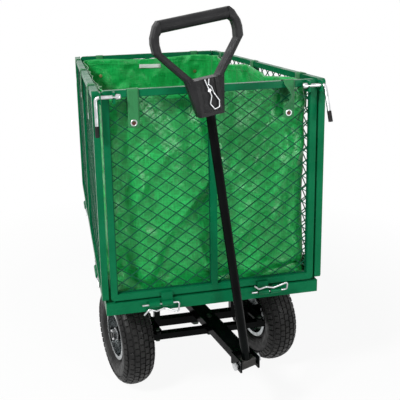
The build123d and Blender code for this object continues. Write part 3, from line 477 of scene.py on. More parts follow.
class Finish(Enum):
    """The cart's finishes."""

    GREEN_PAINT = GlossPaint(
        "green_gloss_paint", rgba(0.002, 0.132, 0.050), rgba(0.004, 0.160, 0.062), 0.24, 0.06
    )
    # darker copy of the green gloss paint for the mesh strands: painted shade on the thin strands
    MESH_PAINT = GlossPaint(
        "green_paint_painted_shade", rgba(0.002, 0.070, 0.034), rgba(0.004, 0.095, 0.044), 0.3, 0.12
    )
    BLACK_PAINT = GlossPaint(
        "black_gloss_paint", rgba(0.001, 0.0015, 0.0015), rgba(0.003, 0.004, 0.004), 0.15, 0.05
    )
    GREY_PAINT = GlossPaint(
        "grey_block_paint", rgba(0.030, 0.029, 0.027), rgba(0.050, 0.048, 0.045), 0.34, 0.2
    )
    ZINC = BarePlate("zinc_plate", rgba(0.66, 0.67, 0.68), rgba(0.48, 0.49, 0.50))
    BLACKENED = BarePlate(
        "blackened_plate", rgba(0.050, 0.066, 0.054), rgba(0.024, 0.030, 0.026), 0.3
    )
    BRASS = BarePlate("dull_brass", rgba(0.42, 0.33, 0.15), rgba(0.30, 0.24, 0.12), 0.34)
    RIM_STEEL = BarePlate("pressed_rim_steel", rgba(0.46, 0.48, 0.49), rgba(0.24, 0.26, 0.26), 0.14)
    PLASTIC = MouldedPlastic(
        "black_moulded_plastic", rgba(0.009, 0.009, 0.010), rgba(0.016, 0.016, 0.017)
    )
    GRIP = MouldedPlastic(
        "latch_grip_vinyl", rgba(0.008, 0.008, 0.008), rgba(0.014, 0.014, 0.014), 0.5, 900.0
    )
    RUBBER = TyreRubber("tyre_rubber", rgba(0.009, 0.009, 0.009), rgba(0.024, 0.023, 0.022))
    LINER = LinerFabric(
        "coated_liner_cloth",
        rgba(0.008, 0.420, 0.078),
        rgba(0.015, 0.540, 0.112),
        # colour of the weave's hollows, with their shade painted in
        rgba(0.004, 0.230, 0.042),
        rgba(0.060, 0.480, 0.150),
    )
    # second colour: painted shade in the rib grooves, and random darker patches
    STRAP = Webbing("ribbed_webbing", rgba(0.024, 0.235, 0.070), rgba(0.014, 0.160, 0.048))
    STUD_CENTRE = MouldedPlastic(
        "stud_centre", rgba(0.090, 0.026, 0.018), rgba(0.140, 0.050, 0.036), 0.3
    )
    # second colour: painted shade in the rib grooves, and random darker patches
    TAG = Webbing("care_tag_satin", rgba(0.80, 0.82, 0.80), rgba(0.70, 0.73, 0.70), 0.0009)

    @property
    def material(self) -> bpy.types.Material:
        """The finish's material, made on first use."""
        found = bpy.data.materials.get(self.value.name)
        return found or self.value.build()


# Shared modelling ---------------------------------------------------------------------


@dataclass
class SubAssembly:
    """A group of pieces that are made and dressed together."""

    frame: dict

    def node(self, name: str) -> bpy.types.Object:
        """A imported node's object."""
        return self.frame["nodes"][name]

    def dress(self, finish: Finish, *names: str) -> None:
        """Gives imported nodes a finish.

        Args:
            finish: what they are covered with.
            names: the nodes.
        """
        for name in names:
            self.node(name).data.materials.clear()
            self.node(name).data.materials.append(finish.material)
        LOG.info("dressed %s in %s", ", ".join(names), finish.value.name)

    def joint(self, name: str) -> dict:
        """The record's entry of a joint."""
        return next(joint for joint in self.frame["joints"] if joint["name"] == name)

    def finished(
        self,
        name: str,
        mesh: bmesh.types.BMesh,
        finish: Finish,
        body: str,
        slot: str,
        smooth: float = 40.0,
    ) -> bpy.types.Object:
        """Turns a bmesh into a piece that rides on a body.

        Args:
            name: the piece's name.
            mesh: its shape at its place; it is freed.
            finish: what it is covered with.
            body: the body that carries it.
            slot: the record's material slot; not used.
            smooth: faces that meet under this angle, in degrees, shade smoothly.

        Returns:
            The new object.
        """
        bmesh.ops.recalc_face_normals(mesh, faces=mesh.faces)
        limit = math.radians(smooth)
        for face in mesh.faces:
            face.smooth = True
        for edge in mesh.edges:
            edge.smooth = len(edge.link_faces) != 2 or edge.calc_face_angle(0.0) < limit
        data = bpy.data.meshes.new(name)
        mesh.to_mesh(data)
        mesh.free()
        piece = bpy.data.objects.new(name, data)
        bpy.context.scene.collection.objects.link(piece)
        data.materials.append(finish.material)
        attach(piece, body)
        LOG.info("made %s: %d faces", name, len(data.polygons))
        return piece


def spun(profile: Sequence[tuple[float, float]], steps: int) -> bmesh.types.BMesh:
    """Spins a ring about the X axis.

    Args:
        profile: its closed section, as (x, radius).
        steps: how many faces it has around.

    Returns:
        The closed ring.
    """
    mesh = bmesh.new()
    corners = [mesh.verts.new((x, 0.0, radius)) for x, radius in profile]
    edges = [mesh.edges.new((a, b)) for a, b in zip(corners, corners[1:] + corners[:1])]
    bmesh.ops.spin(
        mesh,
        geom=corners + edges,
        cent=(0.0, 0.0, 0.0),
        axis=(1.0, 0.0, 0.0),
        angle=math.tau,
        steps=steps,
        use_merge=True,
    )
    bmesh.ops.remove_doubles(mesh, verts=mesh.verts, dist=1e-6)
    return mesh


def axle_matrix(position: Sequence[float], axis: Sequence[float]) -> Matrix:
    """Carries the X axis to an axle.

    Args:
        position: a point on the axle.
        axis: its direction.

    Returns:
        The matrix that does so.
    """
    along = Vector(axis).normalized()
    up = Vector((0.0, 0.0, 1.0))
    side = up.cross(along).normalized()
    turn = Matrix((along, side, along.cross(side))).transposed().to_4x4()
    return Matrix.Translation(Vector(position)) @ turn


# Wheels -------------------------------------------------------------------------------


@dataclass
class BlockTyre(SubAssembly):
    """Pneumatic tyre with rows of tread blocks and ribbed sidewalls."""

    corner: str
    radius: float = 0.1297
    half_width: float = 0.0398
    bead_radius: float = 0.0583
    bead_half_width: float = 0.0285
    section_centre: float = 0.0940
    roundness: float = 2.2
    block_height: float = 0.0036
    rows: tuple = (-0.0365, -0.0252, -0.0126, 0.0, 0.0126, 0.0252, 0.0365)
    around: int = 48
    gap: float = 0.0022
    block_width: float = 0.0109
    shoulder_width: float = 0.0126
    block_edge: float = 0.0009
    block_sink: float = 0.0012
    bead_lap: float = 0.004
    ring_angles: tuple = (-32, -24, 8, 12, 168, 172, 204, 212)
    ring_height: float = 0.0009

    def surface(self, angle: float) -> tuple[float, float]:
        """Point of the carcass.

        Args:
            angle: around the section in degrees, 0 at the right side and 90 at the crown.

        Returns:
            The point as (x, radius).
        """
        crown = self.radius - self.block_height - self.section_centre
        foot = self.section_centre - self.bead_radius - self.bead_lap
        power = 2.0 / self.roundness
        across, up = math.cos(math.radians(angle)), math.sin(math.radians(angle))
        x = self.half_width * math.copysign(abs(across) ** power, across)
        lift = (crown if up > 0 else foot) * math.copysign(abs(up) ** power, up)
        return x, self.section_centre + lift

    def profile(self) -> list[tuple[float, float]]:
        """Section of the carcass, with raised rings on its sidewalls.

        Returns:
            The closed section, as (x, radius).
        """
        points = []
        for angle in range(-52, 233, 4):
            x, radius = self.surface(angle)
            if angle in self.ring_angles:
                x += math.copysign(self.ring_height, x)
            points.append((x, radius))
        foot = [(-self.bead_half_width, self.bead_radius), (self.bead_half_width, self.bead_radius)]
        return points + foot

    def blocks(self, mesh: bmesh.types.BMesh) -> None:
        """Adds the bevelled tread blocks, every second row shifted by half a pitch.

        Args:
            mesh: the tyre, with its axle along X.
        """
        pitch = math.tau / self.around
        edges = []
        for index, x in enumerate(self.rows):
            shoulder = index in (0, len(self.rows) - 1)
            angle = min(range(0, 181), key=lambda a: abs(self.surface(a)[0] - x))
            foot = Vector((x, 0.0, self.surface(angle)[1]))
            ahead = Vector((self.surface(angle - 3)[0], 0.0, self.surface(angle - 3)[1]))
            behind = Vector((self.surface(angle + 3)[0], 0.0, self.surface(angle + 3)[1]))
            slope = (ahead - behind).normalized()
            lean = math.atan2(-slope.z, slope.x)
            length = foot.z * pitch - self.gap
            width = self.shoulder_width if shoulder else self.block_width
            height = self.block_height * 2.0 - self.block_sink
            for count in range(self.around):
                turn = Matrix.Rotation(pitch * (count + 0.5 * (index % 2)), 4, "X")
                place = turn @ Matrix.Translation(foot) @ Matrix.Rotation(lean, 4, "Y")
                size = Matrix.Diagonal((width, length, height, 1.0))
                made = bmesh.ops.create_cube(mesh, size=1.0, matrix=place @ size)
                edges += list({edge for vertex in made["verts"] for edge in vertex.link_edges})
        bmesh.ops.bevel(
            mesh,
            geom=edges,
            offset=self.block_edge,
            segments=1,
            profile=0.5,
            affect="EDGES",
            material=-1,
        )

    def build(self) -> None:
        """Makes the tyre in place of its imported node."""
        mesh = spun(self.profile(), 120)
        bmesh.ops.recalc_face_normals(mesh, faces=mesh.faces)
        self.blocks(mesh)
        spin = self.joint(f"wheel_{self.corner}_spin")
        bmesh.ops.transform(mesh, matrix=axle_matrix(spin["pos_m"], spin["axis"]), verts=mesh.verts)
        name, wheel = f"block_tyre_{self.corner}", f"wheel_{self.corner}"
        tyre = self.finished(name, mesh, Finish.RUBBER, wheel, "tyre", 30.0)
        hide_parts(f"tyre_{self.corner}")


@dataclass
class Wheels(SubAssembly):
    """The four wheels."""

    corners: tuple = ("front_left", "front_right", "rear_left", "rear_right")

    def build(self) -> None:
        """Dresses the rims and hubs and makes the tyres."""
        for corner in self.corners:
            self.dress(Finish.RIM_STEEL, f"rim_{corner}")
            self.dress(Finish.BLACK_PAINT, f"hub_{corner}")
            BlockTyre(self.frame, corner).build()


# Frame --------------------------------------------------------------------------------


@dataclass
class Undercarriage(SubAssembly):
    """Axles, steering linkage and drawbar."""

    def build(self) -> None:
        """Dresses the undercarriage."""
        beams = ("front_axle", "kingpin_tubes", "rear_axle", "tie_rod")
        bars = ("drawbar", "drawbar_fork", "pole", "knuckle_left", "knuckle_right")
        self.dress(Finish.BLACK_PAINT, *beams, *bars)
        self.dress(Finish.GREY_PAINT, "pole_pivot_block")
        self.dress(Finish.BLACKENED, "steering_bolt", "tie_rod_bolts", "kingpin_left", "kingpin_right")
        self.dress(Finish.ZINC, "axle_nut_left", "axle_nut_right", "rear_axle_nuts", "pole_bolt")


@dataclass
class Cage(SubAssembly):
    """Tray, panels, hinge clips and corner latches."""

    sides: tuple = ("front", "rear", "left", "right")

    def build(self) -> None:
        """Dresses the cage."""
        frames = (f"{side}_panel_frame" for side in self.sides)
        meshes = (f"{side}_panel_mesh" for side in self.sides)
        self.dress(Finish.GREEN_PAINT, "tray_frame", "tray_crossbars", *frames)
        # the meshes get the darker copy of the green paint, with their shade painted in
        self.dress(Finish.MESH_PAINT, "deck_mesh", *meshes)
        self.dress(Finish.ZINC, "hinge_clips")
        for corner in Wheels.corners:
            self.dress(Finish.ZINC, f"latch_rod_{corner}")
            self.dress(Finish.GRIP, f"latch_grip_{corner}")


@dataclass
class PullHandle(SubAssembly):
    """The D-shaped handle with its pin and clip."""

    def build(self) -> None:
        """Dresses the handle."""
        self.dress(Finish.PLASTIC, "handle")
        self.dress(Finish.ZINC, "handle_pin", "handle_clip")


# Liner --------------------------------------------------------------------------------


@dataclass
class Crease:
    """Fold in a wall of the bag that stands out along a line.

    The line's points are distances along the wall from its middle, to the right as seen
    from outside, and up from the floor. The fold's lower side is the steeper one.
    """

    line: tuple
    width: float
    depth: float
    upper: float = 1.35
    lower: float = 0.65
    low: tuple = field(init=False)
    high: tuple = field(init=False)

    def __post_init__(self) -> None:
        """Works out the box that the fold reaches."""
        reach = self.width * max(self.upper, self.lower)
        self.low = tuple(min(point[axis] for point in self.line) - reach for axis in (0, 1))
        self.high = tuple(max(point[axis] for point in self.line) + reach for axis in (0, 1))

    def height(self, along: float, up: float) -> float:
        """How far the fold stands out at a point of the wall.

        Args:
            along: the point's distance from the wall's middle, to the right from outside.
            up: its distance from the floor.

        Returns:
            The height, which is 0 away from the fold.
        """
        if not (self.low[0] < along < self.high[0] and self.low[1] < up < self.high[1]):
            return 0.0
        best = 0.0
        for (x0, y0), (x1, y1) in zip(self.line, self.line[1:]):
            run = Vector((x1 - x0, y1 - y0))
            offset = Vector((along - x0, up - y0))
            share = min(max(offset.dot(run) / run.length_squared, 0.0), 1.0)
            away = offset - run * share
            reach = self.width * (self.upper if away.y > 0 else self.lower)
            best = max(best, 1.0 - away.length / reach)
        return self.depth * best**1.25


FRONT_CREASES = (
    Crease(((0.235, 0.335), (0.15, 0.225), (0.085, 0.14), (0.02, 0.05)), 0.038, 0.0135, 1.5, 0.45),
    Crease(((0.13, 0.195), (0.19, 0.115), (0.238, 0.05)), 0.022, 0.0090),
    Crease(((0.02, 0.055), (0.10, 0.032)), 0.026, 0.0090),
    Crease(((0.0, 0.27), (-0.10, 0.15), (-0.15, 0.04)), 0.037, 0.0125, 1.5, 0.45),
    Crease(((-0.075, 0.44), (-0.02, 0.375), (0.01, 0.29)), 0.028, 0.0100),
    Crease(((0.235, 0.435), (0.12, 0.375), (0.03, 0.265)), 0.034, 0.0120, 1.5, 0.45),
    Crease(((0.172, 0.400), (0.10, 0.300)), 0.016, 0.0060),
    Crease(((0.172, 0.400), (0.20, 0.255)), 0.015, 0.0055),
    Crease(((0.172, 0.400), (0.03, 0.335)), 0.015, 0.0055),
    Crease(((-0.175, 0.400), (-0.205, 0.27)), 0.019, 0.0060),
    Crease(((-0.175, 0.400), (-0.12, 0.27)), 0.017, 0.0055),
    Crease(((-0.10, 0.33), (-0.20, 0.20)), 0.030, 0.0090, 1.5, 0.45),
    Crease(((-0.235, 0.20), (-0.165, 0.05)), 0.026, 0.0075),
    Crease(((0.12, 0.036), (0.205, 0.046)), 0.011, 0.0050),
    Crease(((-0.03, 0.13), (-0.005, 0.03)), 0.022, 0.0080),
    Crease(((0.05, 0.27), (0.14, 0.305), (0.235, 0.27)), 0.020, 0.0065),
    Crease(((0.115, 0.11), (0.17, 0.20)), 0.020, 0.0060),
)


@dataclass
class Liner(SubAssembly):
    """Fabric bag that hangs from its straps inside the cage.

    The end walls are the front and the rear one. Lengths are in metres.
    """

    step: float = 0.012
    corner_radius: float = 0.024
    ease: float = 0.003
    growth: float = 0.018
    frames: int = 36
    wall: float = 0.0012
    hem: float = 0.022
    front_slack: float = 0.0115
    right_slack: float = 0.009
    slack: float = 0.005
    end_sag: float = 0.005
    side_sag: float = 0.011
    end_strap: float = 0.175
    side_shares: tuple = (0.13, 0.50, 0.87)
    strap_half: float = 0.016
    stud_down: float = 0.072
    stud_hold: float = 0.009
    hem_hold: float = 0.55
    end_span: float = 0.17
    side_span: float = 0.15
    end_lean: float = 0.004
    side_lean: float = 0.006
    calm: float = 0.05
    turn: float = 0.03
    proud: float = 0.002
    floor_shift: float = 10.0
    bar: float = 0.015
    tag_width: float = 0.078
    tag_height: float = 0.014
    tag_x: float = 0.006
    tag_drop: float = 0.006
    body: str = "liner"

    def __post_init__(self) -> None:
        """Reads the bag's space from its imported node."""
        self.low, self.high = (Vector(corner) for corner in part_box("liner"))
        self.middle = (self.low + self.high) / 2
        self.half = (self.high - self.low) / 2 - Vector((self.ease, self.ease, 0.0))
        low, high = (Vector(corner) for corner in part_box("right_panel_mesh"))
        self.cage_front, self.cage_rear = low.y - self.bar, high.y + self.bar
        self.rail_top = high.z + self.bar

    def bag_mesh(self) -> bmesh.types.BMesh:
        """Draws a rounded rectangle up in rings.

        Returns:
            The open bag, with a gridded floor.
        """
        mesh = bmesh.new()
        half = self.half
        columns = round(2 * half.x / self.step)
        rows = round(2 * half.y / self.step)
        bmesh.ops.create_grid(mesh, x_segments=columns, y_segments=rows, size=1.0)
        bmesh.ops.scale(mesh, vec=(half.x, half.y, 1.0), verts=mesh.verts)
        self.round_corners(mesh)
        place = (self.middle.x, self.middle.y, self.low.z + self.wall)
        bmesh.ops.translate(mesh, vec=place, verts=mesh.verts)
        rim = [edge for edge in mesh.edges if edge.is_boundary]
        levels = round((self.high.z - self.low.z) / self.step)
        lift = (self.high.z - self.low.z - 2 * self.wall) / levels
        for _ in range(levels):
            drawn = bmesh.ops.extrude_edge_only(mesh, edges=rim)["geom"]
            rim = [item for item in drawn if isinstance(item, bmesh.types.BMEdge)]
            raised = [item for item in drawn if isinstance(item, bmesh.types.BMVert)]
            bmesh.ops.translate(mesh, vec=(0.0, 0.0, lift), verts=raised)
        mesh.verts.index_update()
        return mesh

    def round_corners(self, mesh: bmesh.types.BMesh) -> None:
        """Draws the grid's corners in onto arcs.

        Args:
            mesh: the bag's floor around the origin.
        """
        core = Vector((self.half.x - self.corner_radius, self.half.y - self.corner_radius, 0.0))
        for vertex in mesh.verts:
            over = Vector((abs(vertex.co.x) - core.x, abs(vertex.co.y) - core.y, 0.0))
            if over.x <= 0 or over.y <= 0:
                continue
            reach = max(over.x, over.y)
            over = over.normalized() * reach
            vertex.co.x = math.copysign(core.x + over.x, vertex.co.x)
            vertex.co.y = math.copysign(core.y + over.y, vertex.co.y)

    def on_end(self, point: Vector) -> bool:
        """Whether a point of the flat bag belongs to its front or rear wall."""
        across = abs(point.x - self.middle.x) / self.half.x
        return abs(point.y - self.middle.y) / self.half.y > across

    def from_strap(self, point: Vector) -> float:
        """Distance along the rail from a point to the nearest strap.

        Args:
            point: its place in the flat bag.

        Returns:
            The distance to the strap's middle.
        """
        if self.on_end(point):
            return abs(abs(point.x - self.middle.x) - self.end_strap)
        length = self.cage_rear - self.cage_front
        return min(abs(point.y - self.cage_front - share * length) for share in self.side_shares)

    def held(self, point: Vector) -> float:
        """How firmly a point of the bag is held.

        Args:
            point: its place in the flat bag.

        Returns:
            1 on the floor, at a strap's seam and at a stud; a little along the sewn hem;
            0 where the cloth is free.
        """
        if point.z < self.low.z + 2 * self.wall:
            return 1.0
        away = self.from_strap(point)
        stud = math.hypot(away, point.z - self.rail_top + self.stud_down)
        if stud < self.stud_hold:
            return 1.0
        if point.z < self.high.z - 2.2 * self.step:
            return 0.0
        return 1.0 if away < self.strap_half else self.hem_hold

    def settle(self, piece: bpy.types.Object, homes: Sequence[Vector]) -> None:
        """Lets the slack bag hang from its straps, then lays it against the cage.

        Args:
            piece: the bag; its mesh ends in the settled shape.
            homes: its points in the flat bag.
        """
        group = piece.vertex_groups.new(name="held")
        for vertex, home in zip(piece.data.vertices, homes):
            group.add([vertex.index], self.held(home), "REPLACE")
        cloth = piece.modifiers.new("hang", "CLOTH")
        settings = cloth.settings
        settings.quality = 6
        settings.mass = 0.25
        settings.tension_stiffness = 12.0
        settings.compression_stiffness = 12.0
        settings.shear_stiffness = 4.0
        settings.bending_stiffness = 1.2
        settings.air_damping = 2.0
        settings.vertex_group_mass = "held"
        settings.shrink_min = -self.growth
        settings.shrink_max = -self.growth
        cloth.collision_settings.use_collision = False
        cloth.point_cache.frame_start = 1
        cloth.point_cache.frame_end = self.frames
        scene = bpy.context.scene
        for frame_number in range(1, self.frames + 1):
            scene.frame_set(frame_number)
        shape = piece.evaluated_get(bpy.context.evaluated_depsgraph_get()).to_mesh()
        settled = [vertex.co.copy() for vertex in shape.vertices]
        piece.modifiers.remove(cloth)
        scene.frame_set(1)
        for vertex, place in zip(piece.data.vertices, settled):
            vertex.co = self.inside_cage(place)

    def inside_cage(self, place: Vector) -> Vector:
        """Moves a point that bulges through the mesh back onto it."""
        sides = zip(place, self.low, self.high)
        return Vector([min(max(at, low + self.wall), high - self.wall) for at, low, high in sides])

    def crumple(self, mesh: bmesh.types.BMesh) -> None:
        """Lets the hem droop between the straps, and gives the walls small uneven folds.

        Args:
            mesh: the flat bag.
        """
        for vertex in mesh.verts:
            hold = self.held(vertex.co)
            if hold == 1.0:
                continue
            on_end = self.on_end(vertex.co)
            span, sag, most = self.side_span, self.side_sag, self.side_lean
            if on_end:
                span, sag, most = self.end_span, self.end_sag, self.end_lean
            away = max(self.from_strap(vertex.co) - self.strap_half, 0.0)
            droop = math.sin(min(away / span, 1.0) * math.pi / 2) ** 2
            share = (vertex.co.z - self.low.z) / (self.high.z - self.low.z)
            sample = vertex.co * 7.0
            push = noise.noise(sample) * 0.006
            push += noise.noise(sample * 2.7 + Vector((3.0, 1.0, 7.0))) * 0.003
            ruffle = noise.noise(vertex.co * 16.0 + Vector((9.0, 4.0, 0.0))) * 0.014 * share**6
            inward = Vector((self.middle.x - vertex.co.x, self.middle.y - vertex.co.y, 0.0))
            inward = Vector((0.0, inward.y, 0.0)) if on_end else Vector((inward.x, 0.0, 0.0))
            lean = most * droop * share**3
            vertex.co += inward.normalized() * max(0.003 + push + ruffle + lean, 0.0)
            vertex.co.z -= sag * droop * share**2

    def walls(self) -> list[tuple[Vector, Vector, float, float, tuple]]:
        """The bag's four walls.

        Returns:
            Each wall's outward direction, its run to the right from outside, its distance
            from the bag's middle, its slack and its creases.
        """
        dice = random.Random(11)
        front, rear = Vector((0.0, -1.0, 0.0)), Vector((0.0, 1.0, 0.0))
        left, right = Vector((-1.0, 0.0, 0.0)), Vector((1.0, 0.0, 0.0))
        end, side = self.half.y, self.half.x
        creases = FRONT_CREASES + self.small_creases(dice, side, 46)
        return [
            (front, right, end, self.front_slack, creases),
            (rear, left, end, self.slack, self.large_creases(dice, side, 14)),
            (left, front, side, self.slack, self.large_creases(dice, end, 26)),
            (right, rear, side, self.right_slack, self.large_creases(dice, end, 26)),
        ]

    def small_creases(self, dice: random.Random, half_length: float, count: int) -> tuple:
        """Short shallow folds all over a wall.

        Args:
            dice: where chance comes from.
            half_length: half the wall's length.
            count: how many folds.

        Returns:
            The folds.
        """
        made = []
        height = self.high.z - self.low.z
        for _ in range(count):
            start = Vector((dice.uniform(-half_length, half_length), dice.uniform(0.03, height)))
            turn, length = dice.uniform(0.0, math.pi), dice.uniform(0.02, 0.08)
            end = start + Vector((math.cos(turn), math.sin(turn))) * length
            width, depth = dice.uniform(0.010, 0.018), dice.uniform(0.0015, 0.0035)
            made.append(Crease((tuple(start), tuple(end)), width, depth))
        return tuple(made)

    def large_creases(self, dice: random.Random, half_length: float, count: int) -> tuple:
        """Long folds that run down and across a wall, with small ones between.

        Args:
            dice: where chance comes from.
            half_length: half the wall's length.
            count: how many long folds.

        Returns:
            The folds.
        """
        made = []
        height = self.high.z - self.low.z
        for _ in range(count):
            start = Vector((dice.uniform(-half_length, half_length), dice.uniform(0.25, height)))
            turn, length = math.radians(dice.gauss(-90.0, 32.0)), dice.uniform(0.10, 0.28)
            middle = start + Vector((math.cos(turn), math.sin(turn))) * length / 2
            turn += math.radians(dice.uniform(-35.0, 35.0))
            end = middle + Vector((math.cos(turn), math.sin(turn))) * length / 2
            line = (tuple(start), tuple(middle), tuple(end))
            made.append(Crease(line, dice.uniform(0.018, 0.034), dice.uniform(0.003, 0.007)))
        return tuple(made) + self.small_creases(dice, half_length, count * 2)

    def refine(self, piece: bpy.types.Object, homes: Sequence[Vector]) -> list[Vector]:
        """Halves the step of the hung cloth, so that sharp folds can show.

        Args:
            piece: the bag.
            homes: its points in the flat bag.

        Returns:
            The finer mesh's points in the flat bag.
        """
        flat = piece.data.attributes.new("flat", "FLOAT_VECTOR", "POINT")
        for entry, home in zip(flat.data, homes):
            entry.vector = home
        smooth = piece.modifiers.new("smooth", "SUBSURF")
        smooth.levels = smooth.render_levels = 1
        graph = bpy.context.evaluated_depsgraph_get()
        finer = bpy.data.meshes.new_from_object(piece.evaluated_get(graph), depsgraph=graph)
        piece.modifiers.remove(smooth)
        piece.data = finer
        return [Vector(entry.vector) for entry in finer.attributes["flat"].data]

    def crease(self, piece: bpy.types.Object, homes: Sequence[Vector]) -> None:
        """Stands the walls off the cage a little and lets their folds come out to it.

        Args:
            piece: the bag.
            homes: its points in the flat bag.
        """
        walls = self.walls()
        for vertex, home in zip(piece.data.vertices, homes):
            offset = home - self.middle
            up = home.z - self.low.z
            near_stud = math.hypot(self.from_strap(home), home.z - self.rail_top + self.stud_down)
            free = min(up / self.calm, 1.0) * min(near_stud / self.calm, 1.0)
            for outward, along, distance, slack, creases in walls:
                depth = distance - offset.dot(outward)
                if depth > self.turn:
                    continue
                fold = max(sum(crease.height(offset.dot(along), up) for crease in creases), 0.0)
                weight = free * (1.0 - depth / self.turn)
                vertex.co -= outward * weight * (slack - min(fold, slack + self.proud))
            vertex.co = self.inside_cage(vertex.co)

    def lay_uv(self, piece: bpy.types.Object, homes: Sequence[Vector]) -> None:
        """Lays cloth coordinates in metres: around the bag, and up its walls to 0 at the rim.

        Args:
            piece: the bag.
            homes: its points in the flat bag.
        """
        layer = piece.data.uv_layers.new(name="cloth")
        for polygon in piece.data.polygons:
            corners = [homes[index] for index in polygon.vertices]
            flat = max(corner.z for corner in corners) < self.low.z + 2 * self.wall
            on_end = self.on_end(sum(corners, Vector()) / len(corners))
            for loop in polygon.loop_indices:
                home = homes[piece.data.loops[loop].vertex_index]
                around = home.x if on_end or flat else home.y
                up = home.y - self.floor_shift if flat else home.z - self.high.z
                layer.data[loop].uv = (around, up)

    def thicken(self, piece: bpy.types.Object, homes: Sequence[Vector]) -> None:
        """Gives the cloth its thickness, twice as much in the turned hem.

        Args:
            piece: the bag.
            homes: its points in the flat bag.
        """
        group = piece.vertex_groups.new(name="hem")
        turned = [index for index, home in enumerate(homes) if home.z > self.high.z - self.hem]
        group.add(turned, 1.0, "REPLACE")
        thick = piece.modifiers.new("wall", "SOLIDIFY")
        thick.thickness = 2 * self.wall
        thick.vertex_group = group.name
        thick.thickness_vertex_group = 0.5
        thick.offset = 0.0

    def build_bag(self) -> None:
        """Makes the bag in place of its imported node."""
        mesh = self.bag_mesh()
        homes = [vertex.co.copy() for vertex in mesh.verts]
        self.crumple(mesh)
        bag = self.finished("liner_bag", mesh, Finish.LINER, self.body, "liner_fabric", 180.0)
        self.lay_uv(bag, homes)
        self.settle(bag, homes)
        homes = self.refine(bag, homes)
        self.crease(bag, homes)
        corners = [vertex.co for vertex in bag.data.vertices]
        faces = [tuple(polygon.vertices) for polygon in bag.data.polygons]
        self.cloth = BVHTree.FromPolygons(corners, faces)
        self.thicken(bag, homes)
        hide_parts("liner")

    def inner_face(self, start: Vector, towards: Vector) -> Vector:
        """Where a line from inside the bag meets the inner face of its wall."""
        return self.cloth.ray_cast(start, towards)[0] - towards * self.wall

    def build_tag(self) -> None:
        """Makes the blank care tag sewn below the hem of the rear wall."""
        width, length = self.tag_width, self.tag_height
        mesh = bmesh.new()
        made = bmesh.ops.create_grid(mesh, x_segments=8, y_segments=4, size=0.5)["verts"]
        layer = mesh.loops.layers.uv.verify()
        for face in mesh.faces:
            for loop in face.loops:
                loop[layer].uv = (loop.vert.co.x * width, loop.vert.co.y * length)
        rear = Vector((0.0, 1.0, 0.0))
        top = self.high.z - self.hem - self.tag_drop
        for vertex in made:
            across, down = vertex.co.x, 0.5 - vertex.co.y
            start = Vector((self.tag_x + across * width, self.middle.y, top - down * length))
            vertex.co = self.inner_face(start, rear) - rear * (0.0006 + 0.0016 * down**2)
        tag = self.finished("care_tag", mesh, Finish.TAG, self.body, "strap_webbing", 180.0)
        thick = tag.modifiers.new("satin", "SOLIDIFY")
        thick.thickness = 0.0004

    def build(self) -> None:
        """Makes the bag, its straps, studs and care tag."""
        self.build_bag()
        self.build_tag()
        StrapSet(self.frame, self).build()


# Closed sections of a press stud's ring and of its rivet's cap, as (height, radius)
RING_SECTION = (
    (0.0, 0.0075),
    (0.0008, 0.0075),
    (0.0016, 0.0066),
    (0.0016, 0.0052),
    (0.0008, 0.0042),
    (0.0, 0.0042),
)
CAP_SECTION = (
    (0.0, 0.0062),
    (0.0009, 0.0060),
    (0.0014, 0.0046),
    (0.0010, 0.0026),
    (0.0011, 0.0004),
    (0.0, 0.0004),
)


